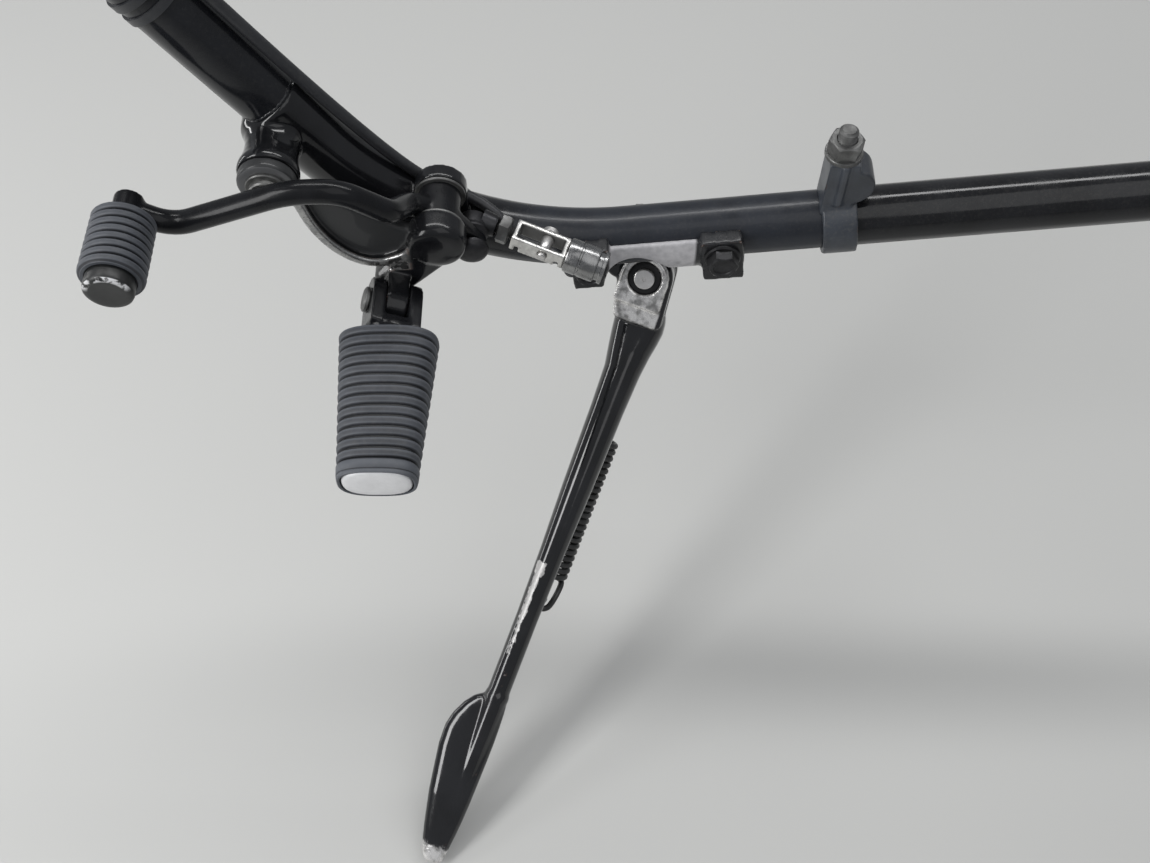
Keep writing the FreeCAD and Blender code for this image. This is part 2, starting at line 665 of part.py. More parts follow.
def link_ball():
    """The ball joint on the lever's crank: round barrel, stud and domed outer end."""
    barrel = cylinder(at(LINK_BALL_FORWARD, LINK_BALL_INNER, LINK_BALL_UP), Y_AXIS, LINK_BALL_D,
                      CRANK_INNER - STACK_GAP - LINK_BALL_INNER)
    dome_at = at(LINK_BALL_FORWARD, CRANK_INNER + CRANK_THICKNESS + STACK_GAP, LINK_BALL_UP)
    stud = cylinder(dome_at - Y_AXIS * 8, Y_AXIS, LINK_STUD_D, 8)
    r = LINK_BALL_D / 2
    dome = turned_profile([(0, r), (1.5, r), (3.4, 0.8 * r), (4.6, 0.4 * r)], dome_at, Y_AXIS)
    return fused(barrel, stud, dome)


def link_rod():
    """The threaded rod behind the ball joint, with its lock nut."""
    barrel = cylinder(at(LINK_BALL_FORWARD, 0, LINK_BALL_UP), Y_AXIS, LINK_BALL_D, 60)
    rod = rod_between(link_place(-4), link_place(FORK_START + FORK_SHEET), LINK_ROD_D).cut(barrel)
    nut = hex_head(link_place(FORK_START - 6.5), LINK_RUN, LINK_NUT_D, 4.5)
    return fused(rod, nut)


def link_fork():
    """The bright sheet fork: front wall, two cheeks with a pin between them, and rear wall."""
    up = LINK_RUN.cross(LINK_ACROSS)
    box = Part.makeBox(FORK_LENGTH, FORK_ACROSS, FORK_HEIGHT, Vector(0, -FORK_ACROSS / 2, -FORK_HEIGHT / 2))
    hollow = Part.makeBox(FORK_LENGTH - 2 * FORK_SHEET, FORK_ACROSS - 2 * FORK_SHEET, FORK_HEIGHT + 2,
                          Vector(FORK_SHEET, FORK_SHEET - FORK_ACROSS / 2, -FORK_HEIGHT / 2 - 1))
    shape = box.cut(hollow)
    for start in (FORK_SHEET, FORK_LENGTH - 2 * FORK_SHEET):
        notch = Part.makeBox(FORK_SHEET, FORK_ACROSS, FORK_HEIGHT / 2, Vector(start, 0, 1))
        shape = shape.cut(notch)
    shape = placed(shape, link_place(FORK_START), LINK_RUN, up)
    hole = cylinder(link_place(FORK_PIN_AT) - LINK_ACROSS * 20, LINK_ACROSS, FORK_PIN_D + 0.1, 40)
    rod_hole = rod_between(link_place(0), link_place(FORK_START + FORK_SHEET + 1), LINK_ROD_D)
    return shape.cut(hole).cut(rod_hole)


def link_pin():
    """The fork's pin, with a thicker barrel between the cheeks and a flat head inboard."""
    middle = link_place(FORK_PIN_AT)
    half = FORK_ACROSS / 2
    shaft = cylinder(middle - LINK_ACROSS * (half + 1), LINK_ACROSS, FORK_PIN_D, 2 * half + 2.5)
    barrel = cylinder(middle - LINK_ACROSS * (half - FORK_SHEET - 0.1), LINK_ACROSS, PIN_BARREL_D,
                      2 * (half - FORK_SHEET - 0.1))
    head = cylinder(middle - LINK_ACROSS * (half + PIN_HEAD + 0.2), LINK_ACROSS, PIN_HEAD_D, PIN_HEAD)
    return fused(shaft, barrel, head)


def link_housing():
    """The round housing behind the fork, with a stepped collar at its rear end."""
    profile = [(0, HOUSING_D / 2), (HOUSING_LENGTH, HOUSING_D / 2)]
    after = HOUSING_LENGTH
    for r in (HOUSING_D / 2 - 1.4, HOUSING_D / 2 - 0.4):
        profile += [(after, r), (after + HOUSING_COLLAR / 2, r)]
        after += HOUSING_COLLAR / 2
    return turned_profile(profile, link_place(FORK_START + FORK_LENGTH + 0.1), LINK_RUN)


# The footrest, which folds up and back on its pin

def footrest_core():
    """The fork with its two ears, and the shank inside the rubber."""
    up = FOLD_AXIS.cross(Y_AXIS)
    width = 2 * EAR_R
    body = placed(Part.makeBox(FORK_WIDTH, RUBBER_IN - PIN_OUT - 2, width,
                               Vector(-FORK_WIDTH / 2, 0, -EAR_R)), PIN, FOLD_AXIS, up)
    eye = cylinder(PIN - FOLD_AXIS * FORK_WIDTH / 2, FOLD_AXIS, width, FORK_WIDTH)
    slot = placed(Part.makeBox(TONGUE_THICKNESS + 2 * EAR_GAP, EAR_R * 2 + 1.5, width + 2,
                               Vector(-TONGUE_THICKNESS / 2 - EAR_GAP, -EAR_R, -EAR_R - 1)), PIN, FOLD_AXIS, up)
    seat = at(PIN_FORWARD, RUBBER_IN - SEAT_FLANGE, PIN_UP)
    flange = cylinder(seat, Y_AXIS, 2 * EAR_R + 3, SEAT_FLANGE)
    shank = cylinder(seat, Y_AXIS, SHANK_D, RUBBER_LENGTH + SEAT_FLANGE)
    core = fused(body, eye, flange, shank).cut(slot)
    hole = cylinder(PIN - FOLD_AXIS * FORK_WIDTH, FOLD_AXIS, PIN_D + 2 * PIN_CLEARANCE, 2 * FORK_WIDTH)
    return core.cut(hole)


def footrest_pin():
    """The pin through the tongue and both ears, with its head at the front."""
    start = PIN - FOLD_AXIS * (FORK_WIDTH / 2 + 1.5)
    head = cylinder(PIN + FOLD_AXIS * (FORK_WIDTH / 2 + EAR_GAP), FOLD_AXIS, PIN_RIVET_D, PIN_RIVET)
    return fused(cylinder(start, FOLD_AXIS, PIN_D, FORK_WIDTH + 3), head)


def footrest_rubber():
    """The tapered oval rubber with its ribs, open for the shank."""
    start = at(PIN_FORWARD, RUBBER_IN, PIN_UP)
    inner = placed(oval(RUBBER_WIDE_IN - 2 * RIB_DEPTH, RUBBER_HIGH_IN - 2 * RIB_DEPTH), start,
                   X_AXIS * -1, Y_AXIS)
    outer = placed(oval(RUBBER_WIDE_OUT - 2 * RIB_DEPTH, RUBBER_HIGH_OUT - 2 * RIB_DEPTH),
                   start + Y_AXIS * RUBBER_LENGTH, X_AXIS * -1, Y_AXIS)
    rubber = [Part.makeLoft([inner, outer], True, True)]
    pitch = RUBBER_LENGTH / RUBBER_RIBS
    for i in range(RUBBER_RIBS):
        share = (i + 0.5) / RUBBER_RIBS
        wide = RUBBER_WIDE_IN + share * (RUBBER_WIDE_OUT - RUBBER_WIDE_IN)
        high = RUBBER_HIGH_IN + share * (RUBBER_HIGH_OUT - RUBBER_HIGH_IN)
        section = Part.Face(placed(oval(wide, high), start + Y_AXIS * pitch * (i + 0.2), X_AXIS * -1, Y_AXIS))
        rubber.append(section.extrude(Y_AXIS * pitch * 0.6))
    return fused(*rubber).cut(cylinder(start - Y_AXIS, Y_AXIS, SHANK_D, RUBBER_LENGTH + 2))


def footrest_end_cap():
    """The bright oval cap on the footrest's end."""
    start = at(PIN_FORWARD, RUBBER_IN + RUBBER_LENGTH + STACK_GAP, PIN_UP)
    section = Part.Face(placed(oval(END_CAP_WIDE, END_CAP_HIGH), start, X_AXIS * -1, Y_AXIS))
    return section.extrude(Y_AXIS * END_CAP)


# The side stand's bracket, and the stand itself

def in_head(down, back, out):
    """A place in the stand's head: down the leg, to its back and out along the pivot from its face."""
    return STAND_OUTER + STAND_SWING * down + STAND_BACK * back + STAND_AXIS * out


def stand_bracket():
    """The forged saddle under the rail, its end blocks and the tongue that the stand turns on."""
    forward = RAIL_DIRECTION * -1
    upward = forward.cross(Y_AXIS)
    rear_end = on_rail(SADDLE_REAR)
    length = on_rail(SADDLE_FRONT).distanceToPoint(rear_end)
    far = TUBE_D + 4 * SADDLE_WALL
    fan = prism([(0, 0), (far, SADDLE_LIP), (far, -far), (-far, -far), (-far, -SADDLE_SKIRT)], length)
    saddle = rail_bar(TUBE_D + 2 * SADDLE_WALL).common(placed(fan, rear_end, Y_AXIS, forward))
    block = Part.makeBox(SADDLE_BLOCK, BLOCK_OUT, BLOCK_LOW + BLOCK_HIGH,
                         Vector(-SADDLE_BLOCK / 2, 0, -BLOCK_LOW))
    blocks = [placed(block, place, forward, upward) for place in (FRONT_SADDLE_BOLT, REAR_SADDLE_BOLT)]
    bracket = fused(saddle, tongue_root(), *blocks).cut(rail_bar(TUBE_D)).cut(spanner_relief())
    bracket = bracket.cut(cylinder(in_head(0, 0, 10), STAND_AXIS * -1, STAND_BOLT_D + 0.1, 50))
    for place in (FRONT_SADDLE_BOLT, REAR_SADDLE_BOLT):
        bracket = bracket.cut(cylinder(place - Y_AXIS * 30, Y_AXIS, SADDLE_BOLT_D + 2 * BOLT_CLEARANCE, 60))
    return bracket


def spanner_relief():
    """The room that the saddle leaves round the pivot's bolt for a spanner."""
    return cylinder(in_head(0, 0, STAND_BOSS_HEIGHT), STAND_AXIS, RELIEF_D, 3 * TUBE_D)


def tongue_root():
    """The eye in the stand's fork and the block that carries it from the saddle."""
    turn = math.radians(TONGUE_LEAN)
    along = STAND_SWING * math.cos(turn) + STAND_BACK * math.sin(turn)
    middle = in_head(0, 0, -EYE_MIDDLE)
    eye = cylinder(middle - STAND_AXIS * TONGUE_EYE_THICKNESS / 2, STAND_AXIS, 2 * TONGUE_EYE_R,
                   TONGUE_EYE_THICKNESS)
    plate = Part.makeBox(ROOT_END, ROOT_WIDTH, TONGUE_EYE_THICKNESS,
                         Vector(0, -ROOT_WIDTH / 2, -TONGUE_EYE_THICKNESS / 2))
    block = Part.makeBox(ROOT_END - ROOT_START, ROOT_WIDTH, EYE_MIDDLE + 6,
                         Vector(ROOT_START, -ROOT_WIDTH / 2, -TONGUE_EYE_THICKNESS / 2))
    return fused(eye, placed(plate, middle, along, STAND_AXIS), placed(block, middle, along, STAND_AXIS))


def saddle_bolt(place):
    """A bolt through block and rail from the outer face, its end flush with the rail's inner side."""
    shank = cylinder(place - Y_AXIS * TUBE_R, Y_AXIS, SADDLE_BOLT_D, BLOCK_OUT + TUBE_R)
    flange = cylinder(place + Y_AXIS * BLOCK_OUT, Y_AXIS, 2 * SADDLE_BOLT_D, FLANGE)
    hexagon = hex_head(place + Y_AXIS * (BLOCK_OUT + FLANGE), Y_AXIS, 1.5 * SADDLE_BOLT_D, SADDLE_HEX)
    return fused(shank, flange, hexagon)


def stand_pivot_bolt():
    """The bolt of the stand's pivot, flush in the boss outside and with a nut inside."""
    nut_at = HEAD_DEPTH + HOOK_DEPTH + SPRING_WIRE
    shank = cylinder(in_head(0, 0, STACK_GAP), STAND_AXIS * -1, STAND_BOLT_D,
                     nut_at + PIVOT_NUT + PIVOT_THREAD + STACK_GAP)
    flange = cylinder(in_head(0, 0, STACK_GAP), STAND_AXIS, STAND_BOSS_BORE - 2 * STACK_GAP, FLANGE)
    face = cylinder(in_head(0, 0, STACK_GAP + FLANGE), STAND_AXIS, STAND_BOLT_D - 1, FLANGE)
    nut = hex_head(in_head(0, 0, -nut_at), STAND_AXIS * -1, 1.6 * STAND_BOLT_D, PIVOT_NUT)
    return fused(shank, flange, face, nut)


def stand_head():
    """The fork: two round cheeks joined below the tongue by the neck."""
    low = NECK_DOWN + 4
    outline = [(0, HEAD_R), (0, -HEAD_R), (low, LEG_OFFSET - NECK_WIDTH / 2),
               (low, LEG_OFFSET + NECK_WIDTH / 2)]
    plate = prism(outline, HEAD_DEPTH)
    disc = Part.makeCylinder(HEAD_R, HEAD_DEPTH)
    slot = Part.makeCylinder(TONGUE_EYE_R + FORK_GAP, TONGUE_EYE_THICKNESS + 2 * HEAD_CLEARANCE,
                             Vector(0, 0, CHEEK_THICKNESS))
    way = Part.makeBox(60, 60, TONGUE_EYE_THICKNESS + 2 * HEAD_CLEARANCE,
                       Vector(-60, -30, CHEEK_THICKNESS))
    head = fused(plate, disc).cut(slot).cut(way)
    head = placed(head, in_head(0, 0, -HEAD_DEPTH), STAND_SWING, STAND_AXIS)
    boss = ring(in_head(0, 0, 0), STAND_AXIS, STAND_BOSS_D, STAND_BOSS_BORE, STAND_BOSS_HEIGHT)
    lobe = cylinder(in_head(-LOBE_UP, -LOBE_FORWARD, -CHEEK_THICKNESS), STAND_AXIS, 2 * LOBE_R, CHEEK_THICKNESS)
    web = Part.makeBox(2 * LOBE_R, LOBE_FORWARD, CHEEK_THICKNESS, Vector(-LOBE_R - LOBE_UP, -LOBE_FORWARD, 0))
    return fused(head, boss, lobe, placed(web, in_head(0, 0, -CHEEK_THICKNESS), STAND_SWING, STAND_AXIS))


# The leg's thickness from the neck down, as shares of its length to the foot and of its full thickness
LEG_TABLE = (  # distance, radius
    (-0.042, 0.448),
    (0.052, 0.500),
    (0.208, 0.427),
    (0.417, 0.385),
    (0.600, 0.323),
    (0.780, 0.292),
    (1.000, 0.292),
)


def leg_frame():
    """The leg's start, direction and the side that faces its back."""
    splay = math.radians(LEG_SPLAY)
    lean = math.atan2(LEG_OFFSET, FOOT_START + FOOT_LENGTH)
    run = STAND_SWING * math.cos(splay) * math.cos(lean) + STAND_AXIS * math.sin(splay)
    run = (run - STAND_BACK * math.sin(lean)).normalize()
    side = (STAND_BACK - run * STAND_BACK.dot(run)).normalize()
    return in_head(NECK_DOWN, LEG_OFFSET, -EYE_MIDDLE), run, side


def stand_leg():
    """The stand's fork and tapered round leg, with the peg that the spring hooks to."""
    reach = math.hypot(SPRING_SIDE, SPRING_BACK) + PEG_PROUD
    peg = cylinder(leg_station(SPRING_PEG_AT), spring_side(), SPRING_PEG_D, reach)
    whole = fused(stand_head(), leg_body(), peg)
    whole = whole.cut(cylinder(in_head(0, 0, 10), STAND_AXIS * -1, STAND_BOLT_D + 0.1, 50))
    return whole


def leg_body():
    """The tapered round leg, with the short end that seats in the foot."""
    start, run, side = leg_frame()
    profile = [(share * FOOT_START, thick * LEG_D) for share, thick in LEG_TABLE]
    profile.append((FOOT_START + FOOT_SEAT, profile[-1][1]))
    return turned_profile(profile, start, run)


# The foot blade's edge from the leg round the tip and back, as shares of its length and width; arcs join
# each point to the next but one
FOOT_EDGE = (  # along, to the side
    (0.000, -0.225),
    (0.090, -0.530),
    (0.242, -0.731),
    (0.483, -0.650),
    (0.713, -0.508),
    (0.884, -0.346),
    (0.990, -0.090),
    (1.000, 0.030),
    (0.990, 0.120),
    (0.814, 0.225),
    (0.622, 0.262),
    (0.310, 0.277),
    (0.000, 0.225),
)


def stand_foot():
    """The flattened foot blade, with the ridge that runs out along it from the leg's end."""
    start, run, side = leg_frame()
    out = run.cross(side)
    points = [Vector(along * FOOT_LENGTH, across * FOOT_WIDTH, 0) for along, across in FOOT_EDGE]
    edge = [Part.Arc(points[i], points[i + 1], points[i + 2]).toShape() for i in range(0, len(points) - 2, 2)]
    edge.append(Part.LineSegment(points[-1], points[0]).toShape())
    blade = Part.Face(Part.Wire(edge)).extrude(Z_AXIS * FOOT_THICKNESS)
    blade = placed(blade, start + run * FOOT_START - out * (FOOT_THICKNESS / 2), run, out)
    thick = LEG_TABLE[-1][1] * LEG_D
    ridge = Part.makeCone(thick, FOOT_THICKNESS / 2 - RIDGE_SUNK, RIDGE_LENGTH, start + run * FOOT_START, run)
    return fused(blade, ridge).cut(leg_body())


def leg_station(below):
    """The point of the leg's axis this far below the pivot."""
    start, run, side = leg_frame()
    return start + run * (below - NECK_DOWN)


def spring_side():
    """The way from the leg's axis across to the spring's."""
    start, run, side = leg_frame()
    return (side * SPRING_SIDE + run.cross(side) * SPRING_BACK).normalize()


def return_spring():
    """The return spring: its coil beside the leg, an eye on the pivot bolt and an eye on the leg's peg."""
    start, run, side = leg_frame()
    away = spring_side() * math.hypot(SPRING_SIDE, SPRING_BACK)
    begin = leg_station(SPRING_START) + away
    length = SPRING_TURNS * SPRING_PITCH
    outer = SPRING_D / 2
    profile = []
    for i in range(SPRING_TURNS):
        z = i * SPRING_PITCH
        profile += [(z, outer - SPRING_WIRE * 0.4), (z + SPRING_PITCH / 2, outer)]
    profile.append((length, outer - SPRING_WIRE * 0.4))
    coil = turned_profile(profile, begin, run)
    coil = coil.cut(cylinder(begin - run, run, SPRING_D - 2 * SPRING_WIRE, length + 2))
    wire_r = outer - SPRING_WIRE / 2
    low = leg_station(SPRING_PEG_AT) + away
    low_side = run.cross(spring_side()).normalize()
    low_eye = loop(low, spring_side(), SPRING_PEG_D + 0.6, SPRING_WIRE)
    low_r = (SPRING_PEG_D + 0.6 + SPRING_WIRE) / 2
    low_wire = rod_between(begin + run * (length - 2) + low_side * (wire_r - 0.5), low + low_side * low_r + run,
                           HOOK_WIRE)
    high = in_head(0, 0, -HEAD_DEPTH - HOOK_DEPTH)
    high_r = (STAND_BOLT_D + 0.8 + SPRING_WIRE) / 2
    high_eye = loop(high, STAND_AXIS, STAND_BOLT_D + 0.8, SPRING_WIRE)
    inboard = side.cross(run)
    high_wire = rod_between(begin + run * 2 + inboard * (wire_r - 0.5), high + STAND_SWING * high_r,
                            HOOK_WIRE)
    return fused(coil, low_eye, low_wire, high_eye, high_wire)


# The lead's first corners, out of the housing, and then those round the rail's flank to its top
LEAD_EXIT = (  # forward, outboard, up, bend radius
    (33.0, 25.6, 6.5, 0.0),
    (33.5, 25.0, -0.5, 5.0),
)
LEAD_ROUND = (  # forward, degrees round the rail from its top, bend radius
    (43.0, 64.0, 8.0),
    (58.8, 55.0, 20.0),
    (69.0, 23.3, 28.0),
)


def beside_rail(forward, turn, off):
    """A place off the rail's axis, turned this far from its top towards its outer side."""
    middle = rail_axis(forward)
    ahead = rail_axis(forward + 0.5) - rail_axis(forward - 0.5)
    top = ahead.cross(Y_AXIS).normalize()
    turn = math.radians(turn)
    return middle + top * (off * math.cos(turn)) + Y_AXIS * (off * math.sin(turn))


def lead_route():
    """The lead's corners and the bend at each; the last bend follows the rail's own."""
    points = [(at(x, y, z), bend) for x, y, z, bend in LEAD_EXIT]
    points += [(beside_rail(x, turn, LEAD_OFF), bend) for x, turn, bend in LEAD_ROUND]
    on_bend = beside_rail(LEAD_ON_BEND, 0, LEAD_OFF)
    ahead = (rail_axis(LEAD_ON_BEND + 0.5) - rail_axis(LEAD_ON_BEND - 0.5)).normalize()
    bend = BEND_RADIUS - LEAD_OFF
    points.append((on_bend - ahead * LEAD_RUN_IN, 14.0))
    points.append((on_bend + ahead * bend * math.tan(ahead.getAngle(DOWN_DIRECTION) / 2), bend))
    points.append((down_tube(LEAD_END, LEAD_OFF), 0.0))
    return points


def down_tube(below, off):
    """A place this far below the front joint, off the tube's axis to its rear."""
    return DOWN_DIRECTION * -below + DOWN_DIRECTION.cross(Y_AXIS).normalize() * off


def lead():
    """The rubber lead, round in section, with its gland under the housing."""
    route = lead_route()
    rear = FORK_START + FORK_LENGTH
    housing = rod_between(link_place(rear), link_place(rear + HOUSING_LENGTH), HOUSING_D)
    return bent_bar([point for point, bend in route], [bend for point, bend in route[1:]], LEAD_D).cut(housing)


def lead_connector():
    """The plug on the lead's end, a box with a raised rib round it."""
    along = DOWN_DIRECTION
    start = down_tube(LEAD_END, TUBE_R + CONNECTOR_HEIGHT / 2)
    box = Part.makeBox(CONNECTOR_LENGTH, CONNECTOR_WIDTH, CONNECTOR_HEIGHT,
                       Vector(0, -CONNECTOR_WIDTH / 2, -CONNECTOR_HEIGHT / 2))
    rib = Part.makeBox(3, CONNECTOR_WIDTH + 2, CONNECTOR_HEIGHT + 1,
                       Vector(CONNECTOR_LENGTH / 2, -CONNECTOR_WIDTH / 2 - 1, -CONNECTOR_HEIGHT / 2))
    return placed(fused(box, rib), start, along, along.cross(Y_AXIS).normalize())


def lead_clip(below):
    """The band that ties the lead to the tube."""
    along = DOWN_DIRECTION
    tube = ring(down_tube(below, 0), along, TUBE_D + 2 * CLIP_SHEET, TUBE_D, CLIP_WIDTH)
    small = ring(down_tube(below, LEAD_OFF), along, LEAD_D + 2 * CLIP_SHEET, LEAD_D, CLIP_WIDTH)
    clear = cylinder(down_tube(below - 1, 0) - along * (CLIP_WIDTH + 1), along, TUBE_D, 3 * CLIP_WIDTH)
    lead_way = cylinder(down_tube(below - 1, LEAD_OFF) - along * (CLIP_WIDTH + 1), along, LEAD_D, 3 * CLIP_WIDTH)
    return fused(tube, small).cut(clear).cut(lead_way)


NODES = {
    "frame_rail": frame_rail,
    "front_joint_lug": lambda: joint_lug(Vector(0, 0, 0), DOWN_DIRECTION, FRONT_BOLT_PITCH, LUG_REACH),
    "rear_joint_lug": lambda: joint_lug(REAR_JOINT, RAIL_DIRECTION, REAR_BOLT_PITCH, REAR_REACH),
    "engine_mount": engine_mount,
    "engine_mount_bolt": engine_mount_bolt,
    "footrest_bracket": footrest_bracket,
    "bracket_bolt": bracket_bolt,
    "pivot_bolt": pivot_bolt,
    "gear_lever": gear_lever,
    "gear_lever_rubber": lever_rubber,
    "gear_lever_end_plate": lever_end_plate,
    "link_ball": link_ball,
    "link_rod": link_rod,
    "link_fork": link_fork,
    "link_pin": link_pin,
    "link_housing": link_housing,
    "lead": lead,
    "lead_connector": lead_connector,
    "lead_clip_1": lambda: lead_clip(CLIPS[0]),
    "lead_clip_2": lambda: lead_clip(CLIPS[1]),
    "footrest_core": footrest_core,
    "footrest_pin": footrest_pin,
    "footrest_rubber": footrest_rubber,
    "footrest_end_cap": footrest_end_cap,
    "stand_bracket": stand_bracket,
    "front_saddle_bolt": lambda: saddle_bolt(FRONT_SADDLE_BOLT),
    "rear_saddle_bolt": lambda: saddle_bolt(REAR_SADDLE_BOLT),
    "stand_pivot_bolt": stand_pivot_bolt,
    "stand_leg": stand_leg,
    "stand_foot": stand_foot,
    "return_spring": return_spring,
}


def main():
    os.makedirs("parts", exist_ok=True)
    for name, make in NODES.items():
        shape = make()
        solids = len(shape.Solids)
        print(f"{name}: {solids} solid, {shape.Volume:.0f} cubic mm, valid {shape.isValid()}")
        shape.exportStep(f"parts/{name}.step")


main()
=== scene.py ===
"""Looks of a motorcycle's lower frame rail with its side stand, folding footrest and gear lever.

The packed model is the fixed frame: +X forward, +Y outboard, +Z up, in metres, with the origin at the
front joint. Forged pieces take their shape from the frame's own nodes and get worn round edges; tubes,
welds, fasteners, rubbers, the spring and the lead are modelled new in their places.
"""
import bmesh
import bpy
import math

from bpy.props import FloatProperty, FloatVectorProperty, IntProperty, PointerProperty
from mathutils import Matrix, Vector


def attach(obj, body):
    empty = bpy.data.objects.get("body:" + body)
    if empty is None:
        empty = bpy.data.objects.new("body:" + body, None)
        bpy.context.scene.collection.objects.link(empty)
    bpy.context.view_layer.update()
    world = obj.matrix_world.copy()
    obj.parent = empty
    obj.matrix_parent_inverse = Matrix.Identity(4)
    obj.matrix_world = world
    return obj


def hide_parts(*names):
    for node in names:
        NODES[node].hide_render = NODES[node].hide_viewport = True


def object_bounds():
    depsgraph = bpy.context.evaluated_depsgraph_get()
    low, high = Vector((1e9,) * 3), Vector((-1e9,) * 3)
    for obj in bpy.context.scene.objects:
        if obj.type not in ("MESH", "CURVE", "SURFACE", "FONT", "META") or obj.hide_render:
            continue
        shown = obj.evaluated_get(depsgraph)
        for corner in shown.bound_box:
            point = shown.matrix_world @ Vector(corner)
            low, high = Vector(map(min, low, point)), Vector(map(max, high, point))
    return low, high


bl_info = {
    "name": "Lower frame rail with side stand",
    "version": (1, 0, 0),
    "blender": (4, 5, 0),
    "location": "View3D > Sidebar > Frame rail",
    "description": "Models and finishes a motorcycle's lower frame rail, side stand, footrest and gear lever",
    "category": "Object",
}

for name in ("Cube", "Light", "Camera"):
    if name in bpy.data.objects:
        bpy.data.objects.remove(bpy.data.objects[name])

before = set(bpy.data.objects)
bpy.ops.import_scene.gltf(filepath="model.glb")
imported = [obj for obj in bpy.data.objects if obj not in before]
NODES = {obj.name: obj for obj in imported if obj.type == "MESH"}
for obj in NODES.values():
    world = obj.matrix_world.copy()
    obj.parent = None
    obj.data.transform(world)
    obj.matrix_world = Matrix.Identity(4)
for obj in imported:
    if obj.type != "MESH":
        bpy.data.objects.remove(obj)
CAD_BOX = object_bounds()

MM = 0.001
TURN = 2 * math.pi
X_AXIS = Vector((1, 0, 0))
Y_AXIS = Vector((0, 1, 0))
Z_AXIS = Vector((0, 0, 1))

# The stand's station, a point beside the rail above the stand's pivot, that most places are measured from
STATION = Vector((-225.08, 0.0, -194.61)) * MM


def at(forward, outboard, up):
    """A place in millimetres forward, outboard and up of the stand's station."""
    return STATION + Vector((forward, outboard, up)) * MM


def heading(degrees):
    """The direction in the rail's plane at this angle above forward."""
    return Vector((math.cos(math.radians(degrees)), 0, math.sin(math.radians(degrees))))


# The rail's line, in the plane between the motorcycle's left and right
TUBE_R = 12.7
DOWN_SLOPE = 58.0
REAR_SLOPE = 7.4
DOWN = heading(DOWN_SLOPE)
REARWARD = heading(180 - REAR_SLOPE)
CORNER = DOWN * -250 * MM
REAR_JOINT = CORNER + REARWARD * 372 * MM
BEND_R = 130 * MM
BEND_TURN = math.radians(DOWN_SLOPE + REAR_SLOPE)
BEND_REACH = BEND_R * math.tan(BEND_TURN / 2)
BEND_TOP = CORNER + DOWN * BEND_REACH
BEND_FOOT = CORNER + REARWARD * BEND_REACH
BEND_CENTRE = BEND_FOOT + Y_AXIS.cross(REARWARD) * BEND_R
FRONT_NECK = DOWN * -47 * MM
REAR_NECK = REAR_JOINT - REARWARD * 45 * MM

# The bracket's boss and the lever's pivot (forward, up), and how far outboard the face on the boss lies
BOSS = (150.6, 65.4)
PIVOT = (88.0, 32.0)
EYE_OUT = 36.0

# The places and directions of the linkage, the stand and its leg, the lever's peg and the footrest
LINK_START = at(68.0, 14.5, 17.8)
LINK_RUN = Vector((-0.93389, 0.29611, -0.20044)).normalized()
LINK_ACROSS = Vector((0.28952, 0.95515, 0.06214)).normalized()
STAND_FACE = at(-0.5, 3.8, -33.0)
STAND_AXIS = Vector((0.17993, 0.77969, 0.59976)).normalized()
STAND_DOWN = Vector((0.29961, 0.53730, -0.78838)).normalized()
STAND_BACK = STAND_AXIS.cross(STAND_DOWN)
LEG_START = at(2.005, 11.542, -64.824)
LEG_RUN = Vector((0.35649, 0.75471, -0.55075)).normalized()
LEG_SIDE = Vector((-0.93138, 0.33361, -0.14572)).normalized()
LEG_OUT = LEG_RUN.cross(LEG_SIDE)
PEG_START = at(202.5, 46.5, 64.5)
FOOTREST = at(107.8, 0.0, 8.0)


def in_head(down, back, out):
    """A place in the stand's head: down the leg, to its back and out along the pivot from its face."""
    return STAND_FACE + (STAND_DOWN * down + STAND_BACK * back + STAND_AXIS * out) * MM


def on_bend(degrees):
    """The rail's axis at this angle forward of the bend's lowest point, and its direction there."""
    turn = math.radians(degrees)
    return BEND_CENTRE + Vector((math.sin(turn), 0, -math.cos(turn))) * BEND_R, heading(degrees)


# The user's sizes and colours

COLOUR = {"size": 3, "subtype": "COLOR", "min": 0, "max": 1}


class RailPaints(bpy.types.PropertyGroup):
    """Colours of the painted, plated and rubber surfaces, and how worn they are."""

    black: FloatVectorProperty(name="Gloss black", description="Enamel of the rail and the stand",
                               default=(0.0075, 0.0078, 0.009), **COLOUR)
    bracket: FloatVectorProperty(name="Bracket black", description="Worn paint of brackets and lever",
                                 default=(0.012, 0.0125, 0.014), **COLOUR)
    film: FloatVectorProperty(name="Road film", description="Blue-grey film on the middle of the rail",
                              default=(0.018, 0.021, 0.028), **COLOUR)
    mount: FloatVectorProperty(name="Engine mount", description="Thin blue-grey paint of the mount",
                               default=(0.034, 0.039, 0.048), **COLOUR)
    # Bare steel also colours the line down the stand's leg, which is partly a painted highlight
    steel: FloatVectorProperty(name="Bare steel", description="Steel where paint is worn away",
                               default=(0.58, 0.57, 0.56), **COLOUR)
    rust: FloatVectorProperty(name="Rust", description="Old rust in pits and seams",
                              default=(0.14, 0.06, 0.03), **COLOUR)
    # Darkened, the dust colour also gives the rail's underside a brownish grey that is partly a painted
    # reflection of the floor
    dust: FloatVectorProperty(name="Dust", description="Road dust in the hollows",
                              default=(0.20, 0.185, 0.16), **COLOUR)
    rubber: FloatVectorProperty(name="Rubber", description="Footrest and lever rubbers",
                                default=(0.024, 0.026, 0.032), **COLOUR)
    zinc: FloatVectorProperty(name="Zinc plate", description="Plating of the linkage's fork",
                              default=(0.66, 0.65, 0.63), **COLOUR)
    alloy: FloatVectorProperty(name="Alloy", description="The footrest's end cap",
                               default=(0.86, 0.86, 0.87), **COLOUR)
    wear: FloatProperty(name="Wear", description="Share of edges that are worn to steel", subtype="FACTOR",
                        min=0, max=1, default=0.4)


